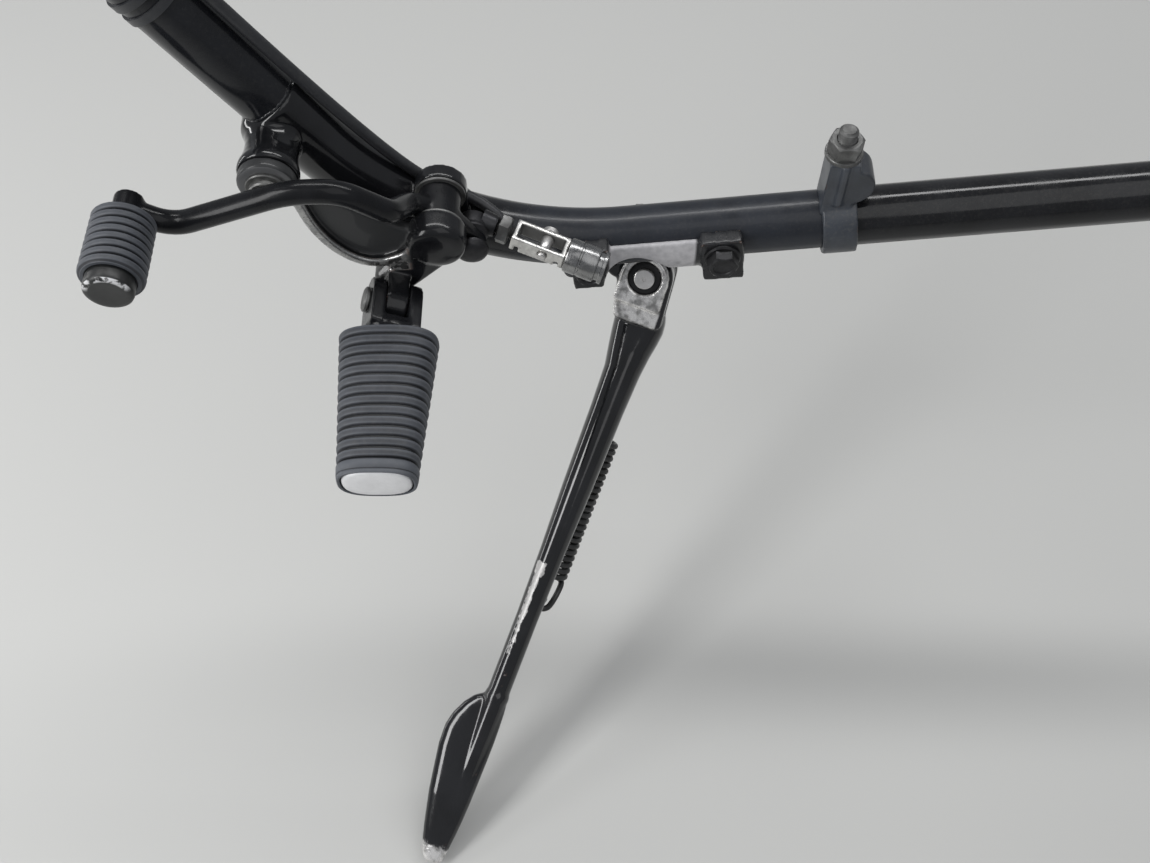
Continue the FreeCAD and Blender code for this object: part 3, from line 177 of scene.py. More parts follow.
class RailForgings(bpy.types.PropertyGroup):
    """How the forged and welded pieces are finished."""

    skin: FloatProperty(name="Skin", description="Size of the forging's surface faces", unit="LENGTH",
                        min=0.0004, max=0.002, default=0.0007)
    rounds: IntProperty(name="Edge wear", description="Rounds of smoothing on the forging's edges", min=1,
                        max=40, default=9)
    weld: FloatProperty(name="Weld", description="Width of a weld bead", unit="LENGTH", min=0.001, max=0.008,
                        default=0.0034)
    sleeve: FloatProperty(name="Casting wall", description="How far the front casting stands off the tube",
                          unit="LENGTH", min=0.0005, max=0.003, default=0.0013)


class RailRubbers(bpy.types.PropertyGroup):
    """Ribs of the two rubbers."""

    ribs: IntProperty(name="Footrest ribs", description="Ribs round the footrest's rubber", min=6, max=24,
                      default=13)
    depth: FloatProperty(name="Rib depth", description="Depth of the footrest's grooves", unit="LENGTH",
                         min=0.0005, max=0.003, default=0.0013)
    peg_ribs: IntProperty(name="Lever ribs", description="Ribs round the gear lever's rubber", min=4, max=14,
                          default=8)
    peg_depth: FloatProperty(name="Lever rib depth", description="Depth of the lever rubber's grooves",
                             unit="LENGTH", min=0.0005, max=0.003, default=0.0014)


class RailSpring(bpy.types.PropertyGroup):
    """The stand's return spring."""

    wire: FloatProperty(name="Wire", description="Thickness of the spring's wire", unit="LENGTH", min=0.001,
                        max=0.005, default=0.003)
    across: FloatProperty(name="Coil", description="Width of the coil outside", unit="LENGTH", min=0.01,
                          max=0.03, default=0.0165)
    turns: IntProperty(name="Turns", description="Turns of the coil", min=8, max=40, default=22)
    pitch: FloatProperty(name="Pitch", description="From one turn to the next", unit="LENGTH", min=0.001,
                         max=0.006, default=0.00335)


class RailFasteners(bpy.types.PropertyGroup):
    """Bolts, nuts and threads."""

    chamfer: FloatProperty(name="Chamfer", description="Slope of a hexagon's turned corners", subtype="ANGLE",
                           min=0.2, max=0.8, default=math.radians(30))
    thread: FloatProperty(name="Thread pitch", description="From one crest of a thread to the next",
                          unit="LENGTH", min=0.0005, max=0.002, default=0.00125)


class RailLead(bpy.types.PropertyGroup):
    """The lead along the rail."""

    across: FloatProperty(name="Lead", description="Thickness of the lead", unit="LENGTH", min=0.002,
                          max=0.01, default=0.005)


class RailStage(bpy.types.PropertyGroup):
    """Floor and lamps."""

    floor: FloatVectorProperty(name="Floor", description="Colour of the plain floor",
                               default=(0.52, 0.52, 0.505), **COLOUR)
    sky: FloatProperty(name="Room light", description="Strength of the even light all round", min=0, max=2,
                       default=0.30)
    strip: FloatProperty(name="Ceiling strip", description="Power of the long lamp overhead", unit="POWER",
                         min=0, max=200, default=15)
    front: FloatProperty(name="Front strips", description="Power of the upper lamp ahead of the stand",
                         unit="POWER", min=0, max=200, default=5.6)
    fill: FloatProperty(name="Fill", description="Power of the broad soft lamp", unit="POWER", min=0, max=200,
                        default=7)


GROUPS = {
    "rail_paints": RailPaints,
    "rail_forgings": RailForgings,
    "rail_rubbers": RailRubbers,
    "rail_spring": RailSpring,
    "rail_fasteners": RailFasteners,
    "rail_lead": RailLead,
    "rail_stage": RailStage,
}


# Mesh helpers

def upright(origin, forward, side=None):
    """The place of a shape made round Z at the origin, so that Z points along forward and X to one side."""
    forward = forward.normalized()
    side = side or (X_AXIS if abs(forward.x) < 0.9 else Y_AXIS)
    across = (side - forward * side.dot(forward)).normalized()
    turn = Matrix((across, forward.cross(across), forward)).transposed().to_4x4()
    return Matrix.Translation(origin) @ turn


def crosswise(place, outboard):
    """The place of a shape that points outboard, at a shared place (forward, up)."""
    return upright(at(place[0], outboard, place[1]), Y_AXIS)


POINT = 0.02  # the radius in millimetres that ends a turned shape in a point


def disc(radius):
    """A round outline, in millimetres."""
    return lambda angle: (radius * math.cos(angle), radius * math.sin(angle), 0.0)


def hexagon(across, corner=None):
    """A hexagonal outline; where a radius is given, its corners are turned down outside it."""
    slope = math.tan(bpy.context.scene.rail_fasteners.chamfer)

    def outline(angle):
        reach = across / 2 / math.cos(angle % (TURN / 6) - TURN / 12)
        drop = slope * max(0.0, reach - corner) if corner else 0.0
        return reach * math.cos(angle), reach * math.sin(angle), drop
    return outline


def oval(width, height, fullness=3.0):
    """A rounded outline; a fullness of 2 is an ellipse, and more is fuller."""
    def outline(angle):
        c, s = math.cos(angle), math.sin(angle)
        return (width / 2 * math.copysign(abs(c) ** (2 / fullness), c),
                height / 2 * math.copysign(abs(s) ** (2 / fullness), s), 0.0)
    return outline


def edges_at(verts):
    """The edges at these points, each once."""
    return list(dict.fromkeys(edge for vert in verts for edge in vert.link_edges))


def drawn_out(bm, edges):
    """A ring extruded from these edges: its points and its edges."""
    made = bmesh.ops.extrude_edge_only(bm, edges=edges)["geom"]
    ring = [part for part in made if isinstance(part, bmesh.types.BMVert)]
    fresh = set(ring)
    rim = [part for part in made if isinstance(part, bmesh.types.BMEdge) and fresh.issuperset(part.verts)]
    return ring, rim


def stacked(bm, place, rings, steps=48):
    """A closed shape through rings of (height, outline), where a plain number is a round one's radius."""
    ring = bmesh.ops.create_circle(bm, cap_ends=False, radius=1.0, segments=steps)["verts"]
    angles = {vert: math.atan2(vert.co.y, vert.co.x) % TURN for vert in ring}
    edges = edges_at(ring)
    first = edges
    for number, (height, outline) in enumerate(rings):
        if number:
            ring, edges = drawn_out(bm, edges)
            fresh = set(ring)
            for vert in ring:
                ends = [edge.other_vert(vert) for edge in vert.link_edges]
                angles[vert] = next(angles[end] for end in ends if end not in fresh)
        outline = outline if callable(outline) else disc(outline)
        for vert in ring:
            x, y, drop = outline(angles[vert])
            vert.co = place @ (Vector((x, y, height - drop)) * MM)
    bmesh.ops.edgeloop_fill(bm, edges=first)
    bmesh.ops.edgeloop_fill(bm, edges=edges)


def threaded(radius, start, end, pitch):
    """The profile of a thread between two heights."""
    root = radius - 0.6 * pitch
    points = []
    height = start
    while height < end - pitch / 2:
        points += [(height, root), (height + pitch / 2, radius)]
        height += pitch
    return points + [(end, root)]


def block(bm, place, size, bevel):
    """A box with rounded edges; its size and bevel are in millimetres."""
    verts = bmesh.ops.create_cube(bm, size=MM)["verts"]
    bmesh.ops.scale(bm, vec=size, verts=verts)
    bmesh.ops.transform(bm, matrix=place, verts=verts)
    bmesh.ops.bevel(bm, geom=edges_at(verts), offset=bevel * MM, offset_type="OFFSET", segments=3,
                    profile=0.5, affect="EDGES", material=-1)


def rounded(points, steps=6):
    """A smooth open line that follows a polygon's corners: it touches each side at its middle."""
    points = [Vector(point) for point in points]
    line = [points[0]]
    for before, corner, after in zip(points, points[1:], points[2:]):
        start = (before + corner) / 2
        end = (corner + after) / 2
        for step in range(steps):
            share = step / steps
            line.append(start * (1 - share) ** 2 + corner * 2 * share * (1 - share) + end * share ** 2)
    return line + [(points[-2] + points[-1]) / 2, points[-1]]


def slab(bm, outline, low, high):
    """A plate beside the rail through these places (forward, up), between two distances outboard."""
    face = bm.faces.new([bm.verts.new(at(forward, low, up)) for forward, up in outline])
    made = bmesh.ops.extrude_face_region(bm, geom=[face])["geom"]
    top = [part for part in made if isinstance(part, bmesh.types.BMVert)]
    bmesh.ops.translate(bm, vec=Y_AXIS * (high - low) * MM, verts=top)
    bmesh.ops.recalc_face_normals(bm, faces=bm.faces)


def eased(low, high, ease):
    """The heights of a plate's rings, and how far each is drawn in, where the edges are eased."""
    return (low, ease), (low + ease, 0.0), (high - ease, 0.0), (high, ease)


def hulled(bm, place, ends, heights):
    """The tight skin round rings at several ends (x, y, radius), with the same heights as in eased()."""
    verts = []
    for x, y, radius in ends:
        for height, less in heights:
            matrix = place @ Matrix.Translation(Vector((x, y, height)) * MM)
            made = bmesh.ops.create_circle(bm, cap_ends=False, radius=(radius - less) * MM, segments=48,
                                           matrix=matrix)
            verts += made["verts"]
    bmesh.ops.convex_hull(bm, input=verts)


def closed_mesh(bm, crease=32):
    """The bmesh as a mesh: doubles merged, faces pointing outwards, smooth but for its creases."""
    bmesh.ops.remove_doubles(bm, verts=bm.verts, dist=0.002 * MM)
    bmesh.ops.recalc_face_normals(bm, faces=bm.faces)
    for face in bm.faces:
        face.smooth = True
    mesh = bpy.data.meshes.new("closed")
    bm.to_mesh(mesh)
    bm.free()
    mesh.set_sharp_from_angle(angle=math.radians(crease))
    return mesh


def applied(obj):
    """The object's shape, with its modifiers or its bevel, as a smooth mesh; the object itself goes."""
    graph = bpy.context.evaluated_depsgraph_get()
    mesh = bpy.data.meshes.new_from_object(obj.evaluated_get(graph))
    bpy.data.objects.remove(obj)
    for face in mesh.polygons:
        face.use_smooth = True
    return mesh


def forged(bm, skin=None, rounds=None):
    """The shapes in the bmesh as one closed skin of small even faces, its edges worn round."""
    settings = bpy.context.scene.rail_forgings
    mesh = bpy.data.meshes.new("blank")
    bm.to_mesh(mesh)
    bm.free()
    obj = bpy.data.objects.new("blank", mesh)
    bpy.context.scene.collection.objects.link(obj)
    remesh = obj.modifiers.new("skin", "REMESH")
    remesh.mode = "VOXEL"
    remesh.voxel_size = skin or settings.skin
    remesh.use_smooth_shade = True
    smooth = obj.modifiers.new("edges", "SMOOTH")
    smooth.factor = 0.5
    smooth.iterations = rounds or settings.rounds
    result = applied(obj)
    bpy.data.meshes.remove(mesh)
    return result


def piece(name, mesh, body, finish, replaced=()):
    """A finished piece: an object at the origin that rides on a body and may stand for CAD nodes."""
    mesh.name = name
    obj = bpy.data.objects.new(name, mesh)
    bpy.context.scene.collection.objects.link(obj)
    mesh.materials.clear()
    mesh.materials.append(MADE[finish])
    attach(obj, body)
    if replaced:
        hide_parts(*replaced)
    return obj


def forged_node(name, node, body, finish, skin=None, rounds=None):
    """The piece that stands for one CAD node: a merged copy of its shape, with the edges worn round."""
    bm = bmesh.new()
    bm.from_mesh(NODES[node].data)
    bmesh.ops.remove_doubles(bm, verts=bm.verts, dist=0.01 * MM)
    return piece(name, forged(bm, skin, rounds), body, finish, (node,))


def curved(name, points, across, order=3, steps=6, sides=3, closed=False, swell=None):
    """A round wire along a smooth curve near these places; swell thickens each point's section."""
    curve = bpy.data.curves.new(name, "CURVE")
    curve.dimensions = "3D"
    spline = curve.splines.new("NURBS")
    spline.points.add(len(points) - 1)
    for number, place in enumerate(points):
        spline.points[number].co = (*place, 1.0)
        spline.points[number].radius = swell[number] if swell else 1.0
    spline.order_u = order
    spline.use_cyclic_u = closed
    spline.use_endpoint_u = not closed
    spline.resolution_u = steps
    curve.bevel_depth = across / 2
    curve.bevel_resolution = sides
    curve.use_fill_caps = not closed
    obj = bpy.data.objects.new(name, curve)
    bpy.context.scene.collection.objects.link(obj)
    return obj


def weld_ring(place, radius, flat=1.0):
    """A bead of overlapping weld ripples round a circle of this radius in millimetres."""
    across = bpy.context.scene.rail_forgings.weld
    count = int(TURN * radius / 1.1)
    points = []
    swell = []
    for number in range(count):
        angle = TURN * number / count
        wander = 0.12 * math.sin(5 * angle) + 0.08 * math.sin(11 * angle + 1)
        points.append(place @ (Vector((radius * math.cos(angle), radius * math.sin(angle), wander)) * MM))
        swell.append(flat * (1.08 if number % 2 else 0.86) * (1 + 0.08 * math.sin(7 * angle + 2)))
    return applied(curved("weld", points, across, steps=3, closed=True, swell=swell))


# Finishes

MADE = {}
# GREASE also serves as painted shade inside the linkage's fork
GREASE = (0.012, 0.012, 0.012)


class Finish:
    """The nodes of one procedural material, made from left to right."""

    def __init__(self, name):
        self.name = name
        self.material = bpy.data.materials.new(name)
        self.material.use_nodes = True
        self.tree = self.material.node_tree
        self.tree.nodes.clear()
        output = self.node("ShaderNodeOutputMaterial")
        self.shader = self.node("ShaderNodeBsdfPrincipled")
        self.feed(output.inputs[0], self.shader.outputs[0])
        self.coordinates = self.node("ShaderNodeTexCoord")
        self.place = self.coordinates.outputs["Object"]
        self.bumps = None

    def node(self, kind, **values):
        """A new node with these settings."""
        made = self.tree.nodes.new(kind)
        for key, value in values.items():
            setattr(made, key, value)
        return made

    def feed(self, socket, value):
        """A constant or another node's output into a socket."""
        if isinstance(value, bpy.types.NodeSocket):
            self.tree.links.new(value, socket)
        else:
            socket.default_value = value

    def noise(self, scale, detail=4.0, roughness=0.55, stretch=(1, 1, 1)):
        """Noise from 0 to 1, with this many lumps to the metre; stretch squeezes it along each axis."""
        made = self.node("ShaderNodeTexNoise")
        mapping = self.node("ShaderNodeMapping")
        self.feed(mapping.inputs["Scale"], stretch)
        self.feed(mapping.inputs["Vector"], self.place)
        self.feed(made.inputs["Vector"], mapping.outputs[0])
        for key, number in (("Scale", scale), ("Detail", detail), ("Roughness", roughness)):
            self.feed(made.inputs[key], number)
        return made.outputs["Fac"]

    def range(self, value, low, high, to_low=0.0, to_high=1.0):
        """The value carried smoothly from one range to another, and kept inside it."""
        made = self.node("ShaderNodeMapRange", interpolation_type="SMOOTHSTEP")
        self.feed(made.inputs["Value"], value)
        for key, number in (("From Min", low), ("From Max", high), ("To Min", to_low), ("To Max", to_high)):
            self.feed(made.inputs[key], number)
        return made.outputs[0]

    def until(self, value, low, high):
        """1 up to the lower number and 0 from the higher one."""
        return self.range(value, low, high, 1.0, 0.0)

    def band(self, value, start, full, going, end):
        """1 in the middle of a band, rising over its first two numbers and falling over its last two."""
        return self.times(self.range(value, start, full), self.until(value, going, end))

    def math(self, operation, first, second=0.0):
        """One sum on two numbers or outputs."""
        made = self.node("ShaderNodeMath", operation=operation)
        self.feed(made.inputs[0], first)
        self.feed(made.inputs[1], second)
        return made.outputs[0]

    def plus(self, first, second):
        """The two added up."""
        return self.math("ADD", first, second)

    def inverse(self, value):
        """What is left of 1."""
        return self.math("SUBTRACT", 1.0, value)

    def times(self, *values):
        """All multiplied together."""
        result = values[0]
        for value in values[1:]:
            result = self.math("MULTIPLY", result, value)
        return result

    def either(self, *values):
        """The largest of them."""
        result = values[0]
        for value in values[1:]:
            result = self.math("MAXIMUM", result, value)
        return result

    def radius(self, first, second):
        """The distance from an axis, from the two distances across it."""
        return self.math("SQRT", self.plus(self.times(first, first), self.times(second, second)))

    def mix(self, share, first, second):
        """One colour turning into another."""
        made = self.node("ShaderNodeMix", data_type="RGBA")
        self.feed(made.inputs["Factor"], share)
        self.feed(made.inputs[6], first)
        self.feed(made.inputs[7], second)
        return made.outputs[2]

    def blend(self, share, first, second):
        """One number turning into another."""
        made = self.node("ShaderNodeMix", data_type="FLOAT")
        self.feed(made.inputs["Factor"], share)
        self.feed(made.inputs[2], first)
        self.feed(made.inputs[3], second)
        return made.outputs[0]

    def vector(self, operation, first, second):
        """One sum on two vectors."""
        made = self.node("ShaderNodeVectorMath", operation=operation)
        self.feed(made.inputs[0], first)
        self.feed(made.inputs[1], second)
        return made.outputs["Vector" if operation == "SUBTRACT" else "Value"]

    def facing(self, direction):
        """1 where the surface faces this way and -1 where it faces away."""
        return self.vector("DOT_PRODUCT", self.coordinates.outputs["Normal"], direction)

    def near(self, point, inner, outer):
        """1 within the inner distance of a place, in millimetres, and 0 beyond the outer one."""
        return self.until(self.vector("DISTANCE", self.place, point), inner * MM, outer * MM)

    def along(self, start, direction):
        """How far past a place a point lies, in this direction, in millimetres."""
        return self.vector("DOT_PRODUCT", self.vector("SUBTRACT", self.place, start), direction / MM)

    def places(self, start, *directions):
        """How far past a place a point lies in each of these directions."""
        return [self.along(start, direction) for direction in directions]

    def creases(self, radius=0.0009):
        """1 on sharp edges and 0 on flats, from the surface's turn within this radius."""
        bevel = self.node("ShaderNodeBevel", samples=6)
        self.feed(bevel.inputs["Radius"], radius)
        plain = self.node("ShaderNodeNewGeometry")
        turn = self.vector("DOT_PRODUCT", bevel.outputs[0], plain.outputs["Normal"])
        return self.range(self.inverse(turn), 0.02, 0.25)

    def ridges(self, low=0.53, high=0.6):
        """1 on the outer edges of a finely divided skin."""
        plain = self.node("ShaderNodeNewGeometry")
        return self.range(plain.outputs["Pointiness"], low, high)

    def hollows(self, low=0.47, high=0.42):
        """1 in the inner corners of a finely divided skin."""
        return self.ridges(low, high)

    def bump(self, height, strength, distance):
        """One more layer of relief, at most this distance high in metres."""
        made = self.node("ShaderNodeBump")
        self.feed(made.inputs["Strength"], strength)
        self.feed(made.inputs["Distance"], distance)
        self.feed(made.inputs["Height"], height)
        if self.bumps is not None:
            self.feed(made.inputs["Normal"], self.bumps)
        self.bumps = made.outputs[0]
        self.feed(self.shader.inputs["Normal"], self.bumps)

    def finish(self, colour, roughness, metallic=0.0, coat=0.0, coat_roughness=0.05, ior=1.5):
        """The finished material, kept under its name."""
        for key, value in (("Base Color", colour), ("Roughness", roughness), ("Metallic", metallic),
                           ("IOR", ior), ("Coat Weight", coat), ("Coat Roughness", coat_roughness)):
            self.feed(self.shader.inputs[key], value)
        MADE[self.name] = self.material


def rgb(colour, light=1.0):
    """A colour, lighter or darker by this factor, in the form that a socket takes."""
    return tuple(min(1.0, c * light) for c in colour) + (1.0,)


def enamel(f, base, roughness, worn, wear, dust, film=None):
    """Black paint on steel, and where it is bare: the colour, roughness and bare share of each point."""
    paints = bpy.context.scene.rail_paints
    clouds = f.noise(42.0, detail=4.0)
    colour = f.mix(f.range(clouds, 0.35, 0.7), rgb(base, 0.8), rgb(base, 1.5))
    smears = f.noise(60.0, detail=6.0, roughness=0.65, stretch=(1.0, 0.35, 1.0))
    rough = f.blend(f.range(smears, 0.4, 0.75), roughness, roughness + 0.16)
    if film is not None:
        thick = f.times(film, f.range(smears, 0.2, 0.7, 0.55, 1.0))
        colour = f.mix(thick, colour, rgb(paints.film))
        rough = f.blend(thick, rough, 0.40)
    lying = f.range(f.facing((0, 0.25, 1)), -0.1, 1.0)
    powder = f.times(f.range(f.noise(700.0, detail=5.0, roughness=0.7), 0.45, 0.8), lying, dust)
    colour = f.mix(powder, colour, rgb(paints.dust))
    rough = f.plus(rough, f.times(powder, 0.5))
    patches = f.noise(190.0, detail=7.0, roughness=0.68)
    bare = f.times(worn, f.range(patches, 0.66 - 0.42 * wear, 0.74 - 0.36 * wear))
    colour = f.mix(f.times(f.range(bare, 0.02, 0.3), 0.6), colour, rgb(paints.rust, 0.6))
    grey = f.range(f.noise(330.0, detail=4.0), 0.3, 0.75)
    steel = f.mix(grey, rgb(paints.steel, 0.5), rgb(paints.steel))
    shining = f.range(bare, 0.25, 0.6)
    colour = f.mix(shining, colour, steel)
    rough = f.blend(bare, rough, 0.33)
    f.bump(f.noise(300.0, detail=1.0), 0.10, 0.0002)
    return colour, rough, shining


def metal(name, base, roughness, tarnish, rust=0.0, grime=0.0, metallic=1.0):
    """Bare or plated metal with clouds of tarnish, fine scratches and a little rust and grime."""
    f = Finish(name)
    clouds = f.noise(170.0, detail=6.0, roughness=0.6)
    colour = f.mix(f.range(clouds, 0.32, 0.72), rgb(base), rgb(base, tarnish))
    scratches = f.noise(1500.0, detail=4.0)
    shine = f.blend(f.range(scratches, 0.35, 0.7), roughness, roughness + 0.2)
    if rust or grime:
        spots = f.range(f.noise(300.0, detail=8.0, roughness=0.7), 0.70 - rust, 0.80 - rust)
        dirt = f.times(f.range(f.noise(90.0, detail=5.0), 0.35, 0.7), grime)
        colour = f.mix(spots, colour, rgb(bpy.context.scene.rail_paints.rust))
        colour = f.mix(dirt, colour, rgb(GREASE))
        cover = f.either(spots, dirt)
        shine = f.blend(cover, shine, 0.75)
        metallic = f.inverse(cover)
    f.bump(scratches, 0.12, 0.0001)
    f.finish(colour, shine, metallic)


def soft_black(name, base, dust, shine, edge):
    """Aged rubber: matt, with paler dust on its high spots, a painted highlight of pale blue-grey on its
    edges, painted shade in its hollows, and fine pitting.
    """
    f = Finish(name)
    pits = f.noise(1000.0, detail=6.0, roughness=0.7)
    clouds = f.noise(85.0, detail=5.0)
    colour = f.mix(f.range(clouds, 0.3, 0.7), rgb(base, 0.75), rgb(base, 1.35))
    lying = f.range(f.facing((0, 0.4, 1)), -0.2, 1.0)
    powder = f.times(f.range(f.noise(420.0, detail=7.0, roughness=0.75), 0.42, 0.78), lying, dust)
    colour = f.mix(powder, colour, rgb(bpy.context.scene.rail_paints.dust))
    # Painted highlight: edges and ridges turned pale blue-grey, as strongly as edge sets
    edges = f.times(f.either(f.creases(0.0007), f.ridges(0.508, 0.54)), edge)
    colour = f.mix(edges, colour, rgb((0.17, 0.185, 0.21)))
    # Painted shade: the hollows darkened to a quarter of the base colour
    colour = f.mix(f.hollows(0.492, 0.46), colour, rgb(base, 0.25))
    f.bump(pits, 0.2, 0.0002)
    f.finish(colour, f.blend(pits, shine, shine + 0.22))


def rail_paint():
    """The rail's enamel: a dull film on its middle, and mud on its underside whose brownish grey is partly a
    painted reflection of the floor.
    """
    paints = bpy.context.scene.rail_paints
    f = Finish("frame_paint")
    waver = f.plus(f.along(STATION, -X_AXIS), f.times(f.noise(30.0), 14.0))
    on_bend_top = f.times(f.range(f.along(BEND_TOP, DOWN), 8.0, 22.0), 0.22)
    film = f.either(f.band(waver, -62.0, -38.0, 82.0, 90.0), on_bend_top)
    # Mud on the downward faces: its brownish grey is also a painted reflection of the floor, and the mud
    # roughens the paint
    below = f.times(f.range(f.facing((0, -0.3, -1)), -0.1, 0.5), 0.8)
    colour, rough, bare = enamel(f, paints.black, 0.11, f.creases(), paints.wear * 0.6, 0.08, film)
    mud = f.range(f.noise(75.0, detail=6.0), 0.35, 0.65)
    colour = f.mix(f.times(below, mud), colour, rgb(paints.dust, 0.22))
    rough = f.plus(rough, f.times(below, f.range(mud, 0.0, 1.0, 0.4, 0.7)))
    f.finish(colour, rough, bare, coat=0.12, coat_roughness=0.04, ior=1.38)


def forging_paint(name, base, roughness, wear, dust, coat, lows=(0.525, 0.585), ior=1.5):
    """Paint on a forging, bare on its ridges and dull with dirt in its hollows."""
    f = Finish(name)
    colour, rough, bare = enamel(f, base, roughness, f.ridges(*lows), wear, dust)
    grime = f.times(f.hollows(), 0.8)
    colour = f.mix(grime, colour, rgb(bpy.context.scene.rail_paints.dust, 0.35))
    rough = f.plus(rough, f.times(grime, 0.25))
    f.finish(colour, rough, bare, coat=coat, ior=ior)


def footrest_bracket_paint():
    """The footrest's bracket: gloss arm, matt web, and bare steel along the rim and on the eye's face."""
    f = Finish("footrest_bracket_paint")
    forward, outboard, up = f.places(STATION, X_AXIS, Y_AXIS, Z_AXIS)
    web = f.times(f.until(outboard, 36.2, 36.8), f.range(forward, 95.0, 101.0))
    eye = f.near(at(BOSS[0], EYE_OUT, BOSS[1]), 11.2, 12.0)
    eye_face = f.times(eye, f.range(f.facing(Y_AXIS), 0.75, 0.9))
    rim = f.times(f.range(outboard, 38.0, 39.1), f.range(forward, 98.0, 103.0), f.range(up, 17.5, 19.0),
                  f.range(f.noise(90.0, detail=4.0), 0.2, 0.45))
    worn = f.either(f.ridges(0.53, 0.59), rim)
    colour, rough, bare = enamel(f, bpy.context.scene.rail_paints.black, 0.16, worn, 0.55, 0.03)
    scuffed = f.mix(f.noise(500.0, detail=5.0), rgb((0.16, 0.165, 0.17)), rgb((0.5, 0.5, 0.49)))
    colour = f.mix(f.times(rim, 0.75), colour, scuffed)
    bare = f.either(bare, f.times(rim, 0.5))
    colour = f.mix(f.times(web, 0.8), colour, rgb((0.036, 0.037, 0.038)))
    rough = f.blend(web, rough, 0.48)
    colour = f.mix(f.times(eye_face, 0.85), colour, rgb((0.12, 0.122, 0.125)))
    rough = f.blend(eye_face, rough, 0.5)
    f.finish(colour, rough, bare, coat=0.25, ior=1.3)


def bracket_paint():
    """The stand's bracket: black, with a pale worn strip along the saddle's outer edge."""
    f = Finish("stand_bracket_paint")
    forward, outboard = f.places(STATION, X_AXIS, Y_AXIS)
    base = bpy.context.scene.rail_paints.bracket
    colour, rough, bare = enamel(f, base, 0.26, f.ridges(), 0.4, 0.04)
    strip = f.times(f.range(outboard, 7.0, 9.0), f.band(forward, -21.5, -20.0, 16.0, 17.5),
                    f.range(f.noise(120.0, detail=6.0), 0.15, 0.45))
    pale = f.mix(f.noise(400.0, detail=5.0), rgb((0.30, 0.295, 0.31)), rgb((0.58, 0.57, 0.58)))
    colour = f.mix(strip, colour, pale)
    rough = f.blend(strip, rough, 0.5)
    f.finish(colour, rough, bare, coat=0.1, ior=1.35)


def stand_paint():
    """The stand: gloss black, polished round the pivot and worn on the leg and the tip; the scraped line down
    the leg is partly wear and partly a painted highlight.
    """
    paints = bpy.context.scene.rail_paints
    f = Finish("stand_paint")
    down, back, out = f.places(STAND_FACE, STAND_DOWN, STAND_BACK, STAND_AXIS)
    ragged = f.plus(down, f.times(f.noise(160.0, detail=5.0), 4.0))
    pad = f.times(f.range(out, 0.2, 0.8), f.until(ragged, 22.0, 24.0))
    facet = f.times(f.range(down, 12.5, 14.0), f.until(ragged, 23.0, 25.0), f.range(out, -2.6, -1.6),
                    f.until(f.math("ABSOLUTE", back), 11.5, 12.5))
    recess = f.times(f.until(f.radius(down, back), 7.7, 8.1), f.range(out, -2.0, -1.0))
    run, side, outer = f.places(LEG_START, LEG_RUN, LEG_SIDE, LEG_OUT)
    upper = f.range(outer, 1.5, 3.5)
    scraped = f.noise(260.0, detail=7.0, roughness=0.7)
    # Scraped steel in a line down the leg's lit side where the highlight runs: partly wear, partly a painted
    # highlight
    off_line = f.math("ABSOLUTE", f.plus(side, 2.4))
    cap = f.times(f.until(off_line, 1.4, 3.8), f.band(run, 117.5, 122.0, 125.5, 130.0))
    line = f.times(f.until(off_line, 0.3, 2.6), f.band(run, 118.0, 122.0, 128.0, 205.0))
    broken = f.times(f.math("SUBTRACT", scraped, 0.5), 2.2)
    scrape_and_painted_highlight = f.range(f.plus(f.either(cap, line), broken), 0.45, 0.62)
    scrape_and_painted_highlight = f.times(scrape_and_painted_highlight, upper, f.range(run, 116.0, 120.0))
    tip = f.range(f.plus(run, f.times(scraped, 8.0)), 276.0, 278.5)
    chips = f.times(f.band(run, 170.0, 185.0, 262.0, 280.0), f.range(side, -4.0, 0.0), upper,
                    f.range(scraped, 0.60, 0.66))
    worn = f.either(f.ridges(0.54, 0.6), f.times(chips, 0.9))
    colour, rough, bare = enamel(f, paints.black, 0.09, worn, 0.34, 0.02)
    clouds = f.noise(240.0, detail=6.0, roughness=0.6)
    shine = f.mix(f.range(clouds, 0.38, 0.70), rgb(paints.steel, 1.55), rgb(paints.steel, 0.45))
    scuffed = f.mix(clouds, rgb(paints.steel, 0.4), rgb(paints.steel))
    polished = f.either(pad, facet, scrape_and_painted_highlight, tip)
    colour = f.mix(polished, colour, f.mix(scrape_and_painted_highlight, shine, scuffed))
    rough = f.blend(polished, rough, f.either(f.blend(clouds, 0.14, 0.42), f.times(scrape_and_painted_highlight, 0.45)))
    bare = f.either(bare, f.times(polished, 0.65))
    colour = f.mix(recess, colour, rgb((0.010, 0.010, 0.011)))
    rough = f.blend(recess, rough, 0.4)
    bare = f.times(bare, f.inverse(recess))
    f.bump(f.times(polished, f.noise(420.0, detail=4.0, stretch=(1, 3, 1))), 0.5, 0.0004)
    f.finish(colour, rough, bare, coat=0.5, coat_roughness=0.03, ior=1.45)


def pivot_bolt_steel():
    """The stand's pivot bolt: a bright turned end over a dark flange, and a dark nut inboard."""
    steel = bpy.context.scene.rail_paints.steel
    f = Finish("pivot_bolt_steel")
    bright = f.range(f.along(STAND_FACE, STAND_AXIS), 1.3, 1.7)
    clouds = f.noise(500.0, detail=5.0)
    end = f.mix(clouds, rgb(steel, 1.5), rgb(steel))
    colour = f.mix(bright, rgb((0.014, 0.014, 0.015)), end)
    f.finish(colour, f.blend(bright, 0.42, 0.30), f.range(bright, 0.0, 1.0, 0.3, 0.6))


